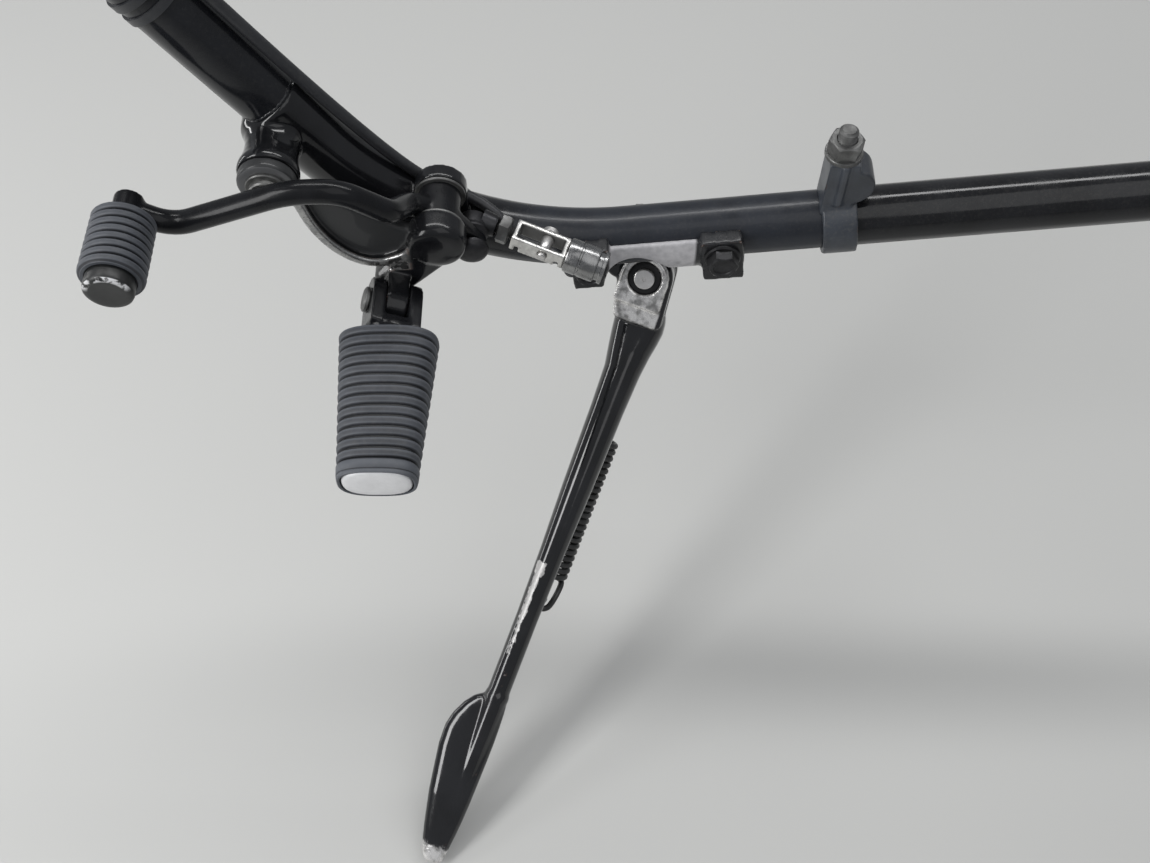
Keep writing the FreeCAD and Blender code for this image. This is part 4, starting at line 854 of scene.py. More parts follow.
def zinc_plate():
    """The fork's plating: bright on the outer faces, with painted shade between the cheeks and in its
    hollows, and a few clouds of grease.
    """
    zinc = bpy.context.scene.rail_paints.zinc
    f = Finish("zinc")
    across = f.math("ABSOLUTE", f.along(LINK_START, LINK_ACROSS))
    run = f.along(LINK_START, LINK_RUN)
    inside = f.times(f.until(across, 3.7, 3.95), f.band(run, 12.7, 13.1, 32.9, 33.3))
    clouds = f.noise(260.0, detail=6.0, roughness=0.6)
    colour = f.mix(f.range(clouds, 0.35, 0.75), rgb(zinc), rgb(zinc, 0.62))
    # Painted shade: the space between the cheeks and the hollows are darkened to GREASE's colour; only the
    # clouds are real grease
    grime = f.either(f.times(inside, 0.95), f.times(f.hollows(), 0.8), f.range(clouds, 0.7, 0.8, 0.0, 0.5))
    colour = f.mix(grime, colour, rgb(GREASE))
    f.bump(f.noise(900.0, detail=3.0), 0.15, 0.0001)
    f.finish(colour, f.blend(grime, 0.28, 0.6), f.inverse(grime))


def plug_finish():
    """The lever's plug: black, with its upper edge scuffed white by boots."""
    f = Finish("plug_black")
    forward, outboard, up = f.places(PEG_START, X_AXIS, Y_AXIS, Z_AXIS)
    edge = f.times(f.band(outboard, 39.3, 39.6, 40.15, 40.4), f.range(up, 1.0, 4.0),
                   f.range(f.radius(forward, up), 6.8, 7.2), f.range(f.noise(300.0, detail=6.0), 0.40, 0.50))
    clouds = f.noise(400.0, detail=6.0)
    colour = f.mix(clouds, rgb((0.008, 0.008, 0.009)), rgb((0.022, 0.023, 0.022)))
    colour = f.mix(edge, colour, rgb((0.66, 0.66, 0.67)))
    f.bump(clouds, 0.2, 0.0002)
    f.finish(colour, f.blend(edge, 0.42, 0.5))


def mix_finishes():
    """All the finishes, each kept under its name."""
    paints = bpy.context.scene.rail_paints
    rail_paint()
    forging_paint("casting_paint", paints.black, 0.10, 0.15, 0.02, 0.3, (0.55, 0.62), 1.4)
    forging_paint("mount_paint", paints.mount, 0.34, 0.35, 0.30, 0.05)
    footrest_bracket_paint()
    forging_paint("lever_paint", paints.black, 0.22, 0.30, 0.01, 0.1, (0.535, 0.60), 1.25)
    bracket_paint()
    stand_paint()
    metal("bolt_steel", (0.24, 0.24, 0.235), 0.36, 0.55, rust=0.02, grime=0.5)
    metal("bright_steel", (0.62, 0.61, 0.60), 0.24, 0.7, grime=0.25)
    pivot_bolt_steel()
    metal("dark_steel", (0.055, 0.055, 0.058), 0.32, 0.6, rust=0.02, grime=0.4)
    metal("spring_steel", (0.10, 0.10, 0.10), 0.30, 0.6, rust=0.03, grime=0.5)
    zinc_plate()
    metal("grey_metal", (0.30, 0.30, 0.30), 0.16, 0.75, grime=0.12)
    metal("alloy", paints.alloy, 0.42, 0.92, metallic=0.4)
    soft_black("rubber", paints.rubber, 0.12, shine=0.45, edge=0.35)
    soft_black("lead_skin", (0.008, 0.008, 0.009), 0.10, shine=0.28, edge=0.1)
    plug_finish()


NODE_FINISH = {
    "dark_steel": ("pivot_bolt",),
    "lead_skin": ("lead_clip_1", "lead_clip_2"),
}


def finish_nodes():
    """The material of each CAD node whose own shape stays."""
    for finish, names in NODE_FINISH.items():
        for name in names:
            for material in NODES[name].material_slots:
                material.material = MADE[finish]


# The rail

def add_tube(bm):
    """The bent tube: a circle drawn out along the down line, round the bend and on to the rear."""
    circle = bmesh.ops.create_circle(bm, cap_ends=False, radius=TUBE_R * MM, segments=72)["verts"]
    bmesh.ops.transform(bm, matrix=upright(FRONT_NECK, -DOWN, Y_AXIS), verts=circle)
    first = edges_at(circle)
    ring, rim = drawn_out(bm, first)
    bmesh.ops.translate(bm, vec=BEND_TOP - FRONT_NECK, verts=ring)
    swept = bmesh.ops.spin(bm, geom=ring + rim, cent=BEND_CENTRE, axis=Y_AXIS, angle=BEND_TURN, steps=56)
    last = [part for part in swept["geom_last"] if isinstance(part, bmesh.types.BMEdge)]
    ring, rim = drawn_out(bm, last)
    bmesh.ops.translate(bm, vec=REAR_NECK - BEND_FOOT, verts=ring)
    bmesh.ops.edgeloop_fill(bm, edges=first)
    bmesh.ops.edgeloop_fill(bm, edges=rim)


# The front boss from the rail outwards: it is waisted, with a lip at its outer end
BOSS_PROFILE = (  # outboard, radius
    (0.0, 13.5),
    (9.0, 13.2),
    (12.5, 11.4),
    (16.5, 10.5),
    (21.0, 10.6),
    (25.0, 11.3),
    (27.6, 12.2),
    (29.4, 12.3),
    (30.9, 11.9),
)
CASTING_TOP = 29.0  # millimetres above the bend
CASTING_LOW = 27.0  # degrees forward of the bend's lowest point


def add_casting(bm):
    """The front casting: a sleeve round the bend with the bracket's boss and the lug of the lever's pivot."""
    wall = bpy.context.scene.rail_forgings.sleeve / MM
    skin = TUBE_R + wall
    under = TUBE_R - 0.4
    top = upright(BEND_TOP + DOWN * CASTING_TOP * MM, -DOWN)
    stacked(bm, top, [(0.0, under), (0.5, TUBE_R + wall * 0.7), (2.2, skin), (CASTING_TOP, skin)], 72)
    circle = bmesh.ops.create_circle(bm, cap_ends=True, radius=skin * MM, segments=72)["verts"]
    bmesh.ops.transform(bm, matrix=upright(BEND_TOP, -DOWN, Y_AXIS), verts=circle)
    turn = math.radians(DOWN_SLOPE - CASTING_LOW)
    bmesh.ops.spin(bm, geom=list(circle[0].link_faces), cent=BEND_CENTRE, axis=Y_AXIS, angle=turn, steps=36)
    foot, run = on_bend(CASTING_LOW)
    low_rings = [(-2.0, skin), (0.0, skin), (3.0, TUBE_R + wall * 0.6), (6.0, under)]
    stacked(bm, upright(foot, -run), low_rings, 72)
    stacked(bm, crosswise(BOSS, 0), BOSS_PROFILE, 72)
    stacked(bm, crosswise(PIVOT, 3.5), [(0, 11), (6.5, 11)], 64)
    block(bm, crosswise((PIVOT[0], PIVOT[1] / 2), 6.75), (22.0, PIVOT[1], 6.5), 1.0)


class FRAMERAIL_OT_rail(bpy.types.Operator):
    """Model the bent tube, the front casting with its boss, and the welds"""
    bl_idname = "frame_rail.rail"
    bl_label = "Rail"

    def execute(self, context):
        bm = bmesh.new()
        add_tube(bm)
        piece("rail_tube", closed_mesh(bm), "rail", "frame_paint", ("frame_rail",))
        bm = bmesh.new()
        add_casting(bm)
        piece("front_casting", forged(bm, rounds=6), "rail", "casting_paint")
        casting_top = upright(BEND_TOP + DOWN * CASTING_TOP * MM, DOWN)
        for name, mesh in (("weld_front_lug", weld_ring(upright(FRONT_NECK, DOWN), TUBE_R - 0.1)),
                           ("weld_rear_lug", weld_ring(upright(REAR_NECK, REARWARD), TUBE_R - 0.1)),
                           ("weld_casting", weld_ring(casting_top, TUBE_R - 0.5, 0.6))):
            piece(name, mesh, "rail", "frame_paint")
        return {"FINISHED"}


class FRAMERAIL_OT_joint_lugs(bpy.types.Operator):
    """Model the two forged lugs that bolt the rail to the motorcycle"""
    bl_idname = "frame_rail.joint_lugs"
    bl_label = "Joint lugs"

    def execute(self, context):
        for name in ("front_joint_lug", "rear_joint_lug"):
            forged_node(name + "_forging", name, "rail", "casting_paint")
        return {"FINISHED"}


MOUNT_TOP = at(-79.0, 0, 45.366)  # the middle of the lug's upper face


class FRAMERAIL_OT_engine_mount(bpy.types.Operator):
    """Model the engine mount on the rail with its stud, washer and nut"""
    bl_idname = "frame_rail.engine_mount"
    bl_label = "Engine mount"

    def execute(self, context):
        forged_node("mount_forging", "engine_mount", "rail", "mount_paint")
        pitch = context.scene.rail_fasteners.thread / MM
        top = upright(MOUNT_TOP, Z_AXIS)
        bm = bmesh.new()
        stacked(bm, top, [(-0.2, 8.0), (1.2, 8.0), (1.6, 7.7), (1.6, 4.0)])
        nut = hexagon(13, 6.6)
        stacked(bm, top, [(1.6, 6.6), (1.9, nut), (8.3, nut), (8.6, 6.2), (8.6, 4.4), (8.0, 3.9)])
        stacked(bm, top, [(-22.0, 4.0)] + threaded(4.0, 1.0, 13.4, pitch) + [(14.0, 2.8)])
        piece("mount_stud", closed_mesh(bm), "rail", "bolt_steel", ("engine_mount_bolt",))
        return {"FINISHED"}


# The footrest's bracket, the gear lever and its linkage

# The middle of the rim round the bracket's web, from under the boss to the arm
RIM_ROUTE = (  # forward, up
    (139.6, 60.0),
    (135.6, 42.5),
    (126.7, 27.9),
    (115.0, 21.2),
    (103.4, 25.0),
    (92.5, 33.0),
)
# How far outboard the web's two faces, the rim's top and the arm's inner face lie
WEB_OUT = (31.0, EYE_OUT)
RIM_OUT = 39.7
ARM_OUT = 28.6
RIM_WIDTH = 4.2
FOLD_AXIS = heading(22.0)
FOLD_PIN = FOOTREST + Y_AXIS * 50 * MM
TONGUE = 9.4  # thickness of the tongue that the footrest's ears hold


def beside(line, width):
    """A closed outline this wide along an open line."""
    left = []
    right = []
    for number, place in enumerate(line):
        along = line[min(number + 1, len(line) - 1)] - line[max(number - 1, 0)]
        across = Vector((along.y, -along.x)).normalized() * width / 2
        left.append(place + across)
        right.append(place - across)
    return left + right[::-1]


def add_bracket(bm):
    """The bracket: front eye, web with its rim, domed arm end, and the arm down to the footrest's tongue."""
    line = rounded(RIM_ROUTE)
    corners = [(PIVOT[0] + 8, PIVOT[1] + 5), (BOSS[0] - 12, BOSS[1] - 1), (BOSS[0], BOSS[1] + 9),
               (BOSS[0], BOSS[1] - 10)]
    slab(bm, line + corners, *WEB_OUT)
    slab(bm, beside(line, RIM_WIDTH), WEB_OUT[0], RIM_OUT)
    stacked(bm, crosswise(BOSS, WEB_OUT[0]), [(0.0, 11.2), (0.4, 11.5), (4.4, 11.5), (5.0, 11.0)], 64)
    stacked(bm, crosswise(PIVOT, ARM_OUT),
            [(0.0, 11.5), (0.5, 12.0), (8.0, 12.0), (10.0, 11.5), (11.4, 10.2), (12.3, 7.5), (12.5, 4.0)], 64)
    foot = (FOOTREST - STATION) / MM
    arm_ends = ((PIVOT[0], -PIVOT[1], 11.0), (foot.x, -foot.z, 8.5))
    arm_rings = ((0.0, 1.2), (1.5, 0.0), (7.5, 0.0), (10.5, 2.0))
    hulled(bm, upright(at(0, ARM_OUT, 0), Y_AXIS, X_AXIS), arm_ends, arm_rings)
    stacked(bm, upright(FOLD_PIN, FOLD_AXIS), [(-TONGUE / 2, 9.0), (TONGUE / 2, 9.0)], 48)
    tongue = upright(FOLD_PIN - Y_AXIS * 9.5 * MM, FOLD_AXIS.cross(Y_AXIS), FOLD_AXIS)
    block(bm, tongue, (TONGUE, 19.0, 18.0), 0.8)


class FRAMERAIL_OT_footrest_bracket(bpy.types.Operator):
    """Model the forged footrest bracket, its front bolt and the washers on the lever's pivot"""
    bl_idname = "frame_rail.footrest_bracket"
    bl_label = "Footrest bracket"

    def execute(self, context):
        bm = bmesh.new()
        add_bracket(bm)
        piece("bracket_forging", forged(bm, rounds=5), "rail", "footrest_bracket_paint",
              ("footrest_bracket",))
        bm = bmesh.new()
        socket = hexagon(6.0)
        stacked(bm, crosswise(BOSS, EYE_OUT),
                [(-27.0, 4.0), (0.0, 4.0), (0.0, 8.0), (1.1, 8.0), (1.5, 7.6), (1.5, 6.25), (3.6, 6.25),
                 (4.3, 5.8), (4.5, 5.1), (4.5, socket), (2.2, socket), (1.8, POINT)])
        piece("bracket_bolt_head", closed_mesh(bm), "rail", "bolt_steel", ("bracket_bolt",))
        bm = bmesh.new()
        for outboard in (27.0, 10.2):
            washer = [(0.0, 8.8), (0.0, 10.5), (0.25, 10.7), (0.95, 10.7), (1.2, 10.5), (1.2, 8.8)]
            stacked(bm, crosswise(PIVOT, outboard), washer)
        piece("pivot_washers", closed_mesh(bm), "rail", "bolt_steel")
        return {"FINISHED"}


# The rings of a rib, from the groove before it over its rounded top, as shares of its pitch and its depth
RIB = (
    (0.00, 1.00),
    (0.06, 0.95),
    (0.12, 0.50),
    (0.18, 0.15),
    (0.26, 0.00),
    (0.44, 0.03),
    (0.62, 0.10),
    (0.74, 0.22),
    (0.82, 0.50),
    (0.88, 0.95),
)
# Along the lever's peg from its start: where the rubber starts, its length, and where the plug starts
PEG_RUBBER_START = 5.8
PEG_RUBBER = 28.2
PEG_PLUG_START = 34.3


class FRAMERAIL_OT_gear_lever(bpy.types.Operator):
    """Model the gear lever, its ribbed rubber and the plug that closes it"""
    bl_idname = "frame_rail.gear_lever"
    bl_label = "Gear lever"

    def execute(self, context):
        forged_node("lever_forging", "gear_lever", "rail", "lever_paint", rounds=6)
        rubbers = context.scene.rail_rubbers
        pitch = PEG_RUBBER / rubbers.peg_ribs
        depth = rubbers.peg_depth / MM
        rings = [(0.0, 9.4), (0.0, 10.6)]
        for rib in range(rubbers.peg_ribs):
            flare = 0.25 * rib / (rubbers.peg_ribs - 1)
            for share, low in RIB:
                rings.append((0.1 + (rib + share) * pitch * 0.995, 12.2 + flare - depth * low))
        rings += [(PEG_RUBBER, 10.9), (PEG_RUBBER, 9.7), (PEG_RUBBER - 0.8, 9.6)]
        bm = bmesh.new()
        stacked(bm, upright(PEG_START + Y_AXIS * PEG_RUBBER_START * MM, Y_AXIS), rings, 64)
        piece("lever_rubber", closed_mesh(bm, 50), "rail", "rubber", ("gear_lever_rubber",))
        bm = bmesh.new()
        stacked(bm, upright(PEG_START + Y_AXIS * PEG_PLUG_START * MM, Y_AXIS),
                [(-1.0, 9.0), (0.2, 9.35), (4.2, 9.45), (5.2, 9.2), (5.8, 8.4), (6.0, 7.0), (5.7, 4.5),
                 (5.7, POINT)], 64)
        piece("lever_plug", closed_mesh(bm, 50), "rail", "plug_black",
              ("gear_lever_end_plate",))
        return {"FINISHED"}


BALL = (75.3, 17.3)  # forward, up
# Along the linkage from its start: the fork's pin and the housing's end
FORK_PIN = 25.4
HOUSING_START = 35.1


class FRAMERAIL_OT_linkage(bpy.types.Operator):
    """Model the gear linkage: ball joint, threaded rod, fork, pin and round housing"""
    bl_idname = "frame_rail.linkage"
    bl_label = "Gear linkage"

    def execute(self, context):
        pitch = context.scene.rail_fasteners.thread / MM
        bm = bmesh.new()
        ball = crosswise(BALL, 0)
        stacked(bm, ball, [(11.0, 4.6), (11.3, 5.8), (12.2, 6.9), (13.4, 7.25), (17.6, 7.25), (18.2, 6.7),
                           (18.6, 7.0), (19.4, 6.9), (20.3, 5.6), (21.2, 4.9)], 56)
        stacked(bm, ball, [(18.0, 3.0), (27.0, 3.0)], 32)
        stacked(bm, ball, [(26.8, 7.0), (27.0, 7.25), (28.2, 7.25), (28.6, 6.9), (29.5, 6.5), (30.6, 5.0),
                           (31.2, 3.0), (31.4, POINT)], 56)
        rod = upright(LINK_START, LINK_RUN)
        stacked(bm, rod, [(-3.5, 5.4), (1.6, 4.9), (3.0, 4.4), (3.4, 3.6)], 40)
        piece("ball_joint", closed_mesh(bm), "rail", "dark_steel", ("link_ball",))
        bm = bmesh.new()
        stacked(bm, rod, [(-3.0, 3.0)] + threaded(3.0, 2.0, 13.4, pitch), 32)
        nut = hexagon(11, 5.5)
        stacked(bm, rod, [(4.5, 5.4), (4.8, nut), (8.7, nut), (9.0, 5.3), (9.0, 3.2)])
        piece("threaded_rod", closed_mesh(bm), "rail", "bolt_steel", ("link_rod",))
        forged_node("sheet_fork", "link_fork", "rail", "zinc", 0.4 * MM, 4)
        bm = bmesh.new()
        pin = upright(LINK_START + LINK_RUN * FORK_PIN * MM, LINK_ACROSS)
        stacked(bm, pin, [(-8.4, 2.8), (-8.1, 3.5), (-6.3, 3.5), (-6.0, 3.3), (-6.0, 2.0), (-3.6, 2.0),
                          (-3.6, 2.6), (-3.3, 2.75), (3.3, 2.75), (3.6, 2.6), (3.6, 2.0), (6.9, 2.0),
                          (7.2, 1.6)], 40)
        piece("fork_pin", closed_mesh(bm), "rail", "bright_steel", ("link_pin",))
        bm = bmesh.new()
        stacked(bm, upright(LINK_START + LINK_RUN * HOUSING_START * MM, LINK_RUN),
                [(0.0, 6.6), (0.4, 7.3), (0.9, 7.5), (5.6, 7.5), (5.9, 7.2), (6.6, 7.2), (6.9, 7.5),
                 (13.0, 7.5), (13.7, 7.2), (14.0, 6.6), (14.0, 6.1), (15.7, 6.1), (15.75, 6.9), (16.0, 7.1),
                 (17.2, 7.1), (17.5, 6.8), (17.5, 4.0), (16.9, 3.6)], 56)
        piece("round_housing", closed_mesh(bm), "rail", "grey_metal", ("link_housing",))
        return {"FINISHED"}


# The lead's corners, out of the housing, round the rail's flank to its top and on to its plug
LEAD_POINTS = (  # forward, outboard, up
    (33.0, 25.6, 6.5),
    (33.5, 25.0, -0.5),
    (42.1, 14.56, 0.35),
    (56.5, 13.27, 5.32),
    (64.14, 6.41, 13.45),
    (76.19, 0.0, 19.26),
    (108.74, 0.0, 39.01),
    (174.78, 0.0, 144.68),
)


class FRAMERAIL_OT_lead(bpy.types.Operator):
    """Lay the lead along the rail, with its plug and the gland where it leaves the housing"""
    bl_idname = "frame_rail.lead"
    bl_label = "Lead"

    def execute(self, context):
        across = context.scene.rail_lead.across
        plug = forged_node("lead_plug", "lead_connector", "rail", "lead_skin", 0.4 * MM, 3)
        lead = curved("lead_line", [at(*place) for place in LEAD_POINTS], across, steps=24, sides=6)
        lead.data.materials.append(MADE["lead_skin"])
        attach(lead, "rail")
        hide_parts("lead")
        bm = bmesh.new()
        away = at(*LEAD_POINTS[1]) - at(*LEAD_POINTS[0])
        stacked(bm, upright(at(33.0, 25.6, 3.6), away),
                [(0.0, 4.2), (1.2, 4.3), (1.6, 3.7), (2.6, 3.7), (3.0, 3.3), (4.0, 3.3), (4.3, 2.7)], 40)
        piece("lead_gland", closed_mesh(bm), "rail", "lead_skin")
        return {"FINISHED"}


# The footrest

# How far outboard the rubber and its end cap start, the lengths of the rubber and of its ribbed part, and the
# rubber's width and height at its start and its end
RUBBER_START = 68.0
CAP_START = 133.3
RUBBER_LENGTH = 65.0
RIBBED_LENGTH = 60.6
RUBBER_WIDE = (41.0, 31.5)
RUBBER_HIGH = (26.0, 20.0)
RUBBER_END = (  # outboard, width, height, fullness of the outline: a plain band, a lip and the cap's recess
    (60.9, 31.6, 19.8, 2.7),
    (61.3, 32.2, 20.2, 2.7),
    (64.8, 31.6, 20.0, 2.7),
    (65.1, 31.0, 19.4, 2.7),
    (65.4, 31.4, 19.8, 2.7),
    (66.6, 30.8, 19.4, 2.7),
    (67.0, 29.8, 18.8, 2.7),
    (66.8, 28.4, 18.0, 2.7),
    (65.4, 28.0, 17.7, 2.7),
    (65.0, 24.0, 15.0, 2.6),
)
END_CAP = (  # outboard, width, height, fullness of the outline
    (-0.4, 25.6, 16.6, 2.6),
    (0.4, 27.2, 17.6, 2.6),
    (1.0, 27.2, 17.6, 2.6),
    (1.7, 26.0, 16.8, 2.6),
    (2.1, 23.5, 15.0, 2.5),
    (2.35, 14.0, 8.0, 2.3),
    (2.4, 1.0, 0.5, 2.0),
)


class FRAMERAIL_OT_footrest(bpy.types.Operator):
    """Model the folding footrest: fork, pin, ribbed rubber and end cap"""
    bl_idname = "frame_rail.footrest"
    bl_label = "Footrest"

    def execute(self, context):
        forged_node("footrest_forging", "footrest_core", "footrest", "lever_paint", rounds=6)
        bm = bmesh.new()
        stacked(bm, upright(FOLD_PIN, FOLD_AXIS),
                [(-12.0, 2.6), (-11.8, 3.6), (-11.3, 4.0), (10.8, 4.0), (10.8, 5.3), (11.0, 5.5), (12.0, 5.3),
                 (12.6, 4.4), (12.9, 2.6), (13.0, POINT)], 40)
        piece("fold_pin", closed_mesh(bm), "rail", "bolt_steel", ("footrest_pin",))
        rubbers = context.scene.rail_rubbers
        depth = rubbers.depth / MM
        pitch = RIBBED_LENGTH / rubbers.ribs
        rings = [(0.0, oval(28.0, 17.0, 2.6)), (0.0, oval(37.0, 22.0, 2.6))]
        for rib in range(rubbers.ribs):
            for share, low in RIB:
                height = (rib + share) * pitch
                wide, high = (start + (end - start) * height / RUBBER_LENGTH - 2 * depth * low
                              for start, end in (RUBBER_WIDE, RUBBER_HIGH))
                rings.append((0.1 + height * 0.997, oval(wide, high, 2.7)))
        rings += [(height, oval(wide, high, fullness)) for height, wide, high, fullness in RUBBER_END]
        bm = bmesh.new()
        stacked(bm, upright(FOOTREST + Y_AXIS * RUBBER_START * MM, Y_AXIS, X_AXIS), rings, 96)
        piece("ribbed_rubber", closed_mesh(bm, 50), "footrest", "rubber", ("footrest_rubber",))
        bm = bmesh.new()
        cap = [(height, oval(wide, high, fullness)) for height, wide, high, fullness in END_CAP]
        stacked(bm, upright(FOOTREST + Y_AXIS * CAP_START * MM, Y_AXIS, X_AXIS), cap, 72)
        piece("oval_cap", closed_mesh(bm, 50), "footrest", "alloy", ("footrest_end_cap",))
        return {"FINISHED"}


# The stand

SADDLE_BOLTS = {"front_saddle_bolt": (25.0, -7.6), "rear_saddle_bolt": (-32.5, -1.185)}
SADDLE_OUT = 17.0
PAD_DOWN = 14.2
PAD_OUTLINE = (  # degrees round from down the leg towards the back, reach of the polished pad in millimetres
    (0.0, PAD_DOWN),
    (38.0, 18.0),
    (52.0, 14.0),
    (68.0, 11.6),
    (90.0, 10.9),
    (270.0, 10.9),
    (292.0, 11.6),
    (308.0, 14.0),
    (322.0, 18.0),
    (360.0, PAD_DOWN),
)


def pad_outline(inset):
    """The outline of the raised pad round the pivot: round above and square below."""
    def outline(angle):
        degrees = math.degrees(angle) % 360
        for (start, near), (end, far) in zip(PAD_OUTLINE, PAD_OUTLINE[1:]):
            if start <= degrees <= end:
                reach = near + (far - near) * (degrees - start) / (end - start)
                if start == 0.0 or end == 360.0:
                    reach = PAD_DOWN / math.cos(math.radians(degrees))
                break
        return (reach - inset) * math.cos(angle), (reach - inset) * math.sin(angle), 0.0
    return outline


class FRAMERAIL_OT_stand_bracket(bpy.types.Operator):
    """Model the stand's forged bracket and its two bolts"""
    bl_idname = "frame_rail.stand_bracket"
    bl_label = "Stand bracket"

    def execute(self, context):
        forged_node("saddle_forging", "stand_bracket", "rail", "stand_bracket_paint",
                    0.8 * MM, 6)
        for node, place in SADDLE_BOLTS.items():
            bm = bmesh.new()
            stacked(bm, crosswise(place, SADDLE_OUT),
                    [(-29.0, 3.4), (-28.4, 4.0), (0.0, 4.0), (0.0, 7.9), (0.9, 8.0), (1.5, 7.3),
                     (1.6, hexagon(12, 6.3)), (6.1, hexagon(12, 6.0)), (6.5, 5.7), (6.5, 4.4), (6.0, 4.0),
                     (6.0, POINT)])
            piece(node + "_head", closed_mesh(bm), "rail", "dark_steel", (node,))
        return {"FINISHED"}


# The stand's head: how far out each cheek lies, the round end and neck of both, and the lobe
CHEEKS = ((-8.0, 0.0), (-25.2, -17.2))
CHEEK_ENDS = ((0.0, 0.0, 13.0), (19.5, -5.3, 4.0), (20.0, 11.5, 3.0))
LOBE_ENDS = ((-1.5, -13.5, 6.2), (-1.5, 0.0, 6.2))
LEG_LOFT = (  # below the leg's start, edges to its front and back, half depth, fullness of the outline
    (-12.0, -13.8, 10.4, 11.6, 3.0),
    (-8.0, -13.4, 11.6, 11.8, 2.9),
    (-3.0, -12.7, 12.1, 11.2, 2.6),
    (3.0, -11.9, 11.4, 10.4, 2.3),
    (10.0, -10.8, 10.2, 9.7, 2.1),
    (20.0, -9.0, 9.1, 9.1, 2.0),
    (40.0, -8.2, 8.2, 8.2, 2.0),
    (80.0, -7.4, 7.4, 7.4, 2.0),
    (115.0, -6.2, 6.2, 6.2, 2.0),
    (150.0, -5.6, 5.6, 5.6, 2.0),
    (196.0, -5.6, 5.6, 5.6, 2.0),
)
# The foot blade from the leg to its tip: distance, edges to its front and back, and half thickness
FOOT_LOFT = (
    (0.0, -6.2, 5.6, 3.2),
    (3.0, -10.5, 6.3, 3.4),
    (8.0, -14.2, 6.7, 3.6),
    (15.0, -17.4, 7.0, 3.9),
    (22.0, -19.0, 7.2, 4.1),
    (32.0, -18.7, 7.2, 4.3),
    (44.0, -16.9, 7.0, 4.4),
    (56.0, -15.0, 6.8, 4.3),
    (66.0, -12.8, 6.4, 4.0),
    (74.0, -11.0, 5.8, 3.7),
    (80.0, -9.4, 5.2, 3.4),
    (85.0, -7.8, 4.7, 3.1),
    (88.5, -6.0, 4.2, 2.6),
    (90.3, -3.8, 3.0, 1.6),
)
FOOT_DOWN = 192.0  # from the leg's start to the blade's
# The return spring: how far it lies off the leg, and how far down the leg its coil and its peg are
SPRING_OFF = 17.5
SPRING_START = 56.0
PEG_DOWN = 142.0
BOLT_EYE = 7.0
PEG_EYE = 4.9


def moved(outline, shift):
    """The outline moved towards the leg's back."""
    def there(angle):
        x, y, height = outline(angle)
        return x + shift, y, height
    return there


def blade(low, high, thick):
    """The outline of the foot blade at one place along it: crowned, and thin at both edges."""
    def outline(angle):
        c, s = math.cos(angle), math.sin(angle)
        across = (low + high) / 2 + (high - low) / 2 * math.copysign(abs(c) ** 0.85, c)
        return across, thick * math.copysign(abs(s) ** 0.9, s), 0.0
    return outline


def add_stand(bm):
    """The stand: fork head with its stop lobe, raised pad, round leg and foot blade with its ridge."""
    head = upright(STAND_FACE, STAND_AXIS, STAND_DOWN)
    for low, high in CHEEKS:
        hulled(bm, head, CHEEK_ENDS, eased(low, high, 0.7))
    hulled(bm, head, LOBE_ENDS, eased(*CHEEKS[0], 0.6))
    stacked(bm, head, [(-2.0, pad_outline(0.0)), (1.6, pad_outline(0.0)), (2.0, pad_outline(0.4)),
                       (2.0, 7.9), (-1.5, 7.8)], 120)
    leg = upright(LEG_START, LEG_RUN, LEG_SIDE)
    stacked(bm, leg, [(below, moved(oval(back - front, 2 * deep, full), (front + back) / 2))
                      for below, front, back, deep, full in LEG_LOFT], 72)
    foot = upright(LEG_START + LEG_RUN * FOOT_DOWN * MM, LEG_RUN, LEG_SIDE)
    stacked(bm, foot, [(along, blade(low, high, thick)) for along, low, high, thick in FOOT_LOFT], 96)
    stacked(bm, foot, [(-3.0, 5.7), (-1.5, 6.2), (0.5, 6.2), (3.0, 5.9), (20.0, 5.6), (42.0, 4.9),
                       (62.0, 3.6)])
    peg = (LEG_SIDE * 1.5 - LEG_OUT * SPRING_OFF).normalized()
    stacked(bm, upright(LEG_START + LEG_RUN * PEG_DOWN * MM, peg),
            [(0, 3.0), (18.4, 3.0), (18.4, 4.2), (20.0, 4.2), (20.5, 3.4)], 32)


class FRAMERAIL_OT_stand(bpy.types.Operator):
    """Model the side stand with its polished pivot, and the pivot's bolt and nut"""
    bl_idname = "frame_rail.stand"
    bl_label = "Side stand"

    def execute(self, context):
        bm = bmesh.new()
        add_stand(bm)
        piece("stand_forging", forged(bm, rounds=6), "stand", "stand_paint",
              ("stand_leg", "stand_foot"))
        bm = bmesh.new()
        stacked(bm, upright(STAND_FACE, STAND_AXIS),
                [(-45.0, 4.2), (-44.4, 5.0), (0.3, 5.0), (0.3, 7.3), (0.5, 7.45), (0.8, 7.45), (1.0, 7.1),
                 (1.0, 4.8), (2.8, 4.7), (3.2, 4.3), (3.2, 1.0), (2.8, 0.7), (2.7, POINT)], 56)
        nut = hexagon(16, 8.0)
        stacked(bm, upright(STAND_FACE, -STAND_AXIS),
                [(37.4, 7.7), (37.8, nut), (43.8, nut), (44.4, 7.6), (44.4, 5.2), (43.8, 5.0)])
        piece("pivot_bolt_and_nut", closed_mesh(bm), "rail", "pivot_bolt_steel",
              ("stand_pivot_bolt",))
        return {"FINISHED"}


def arc(centre, first, second, start, end, radius):
    """Points round a centre: angles in degrees, counted from the first direction to the second."""
    angles = [math.radians(start + (end - start) * step / 9) for step in range(10)]
    return [centre + (first * math.cos(angle) + second * math.sin(angle)) * radius * MM for angle in angles]


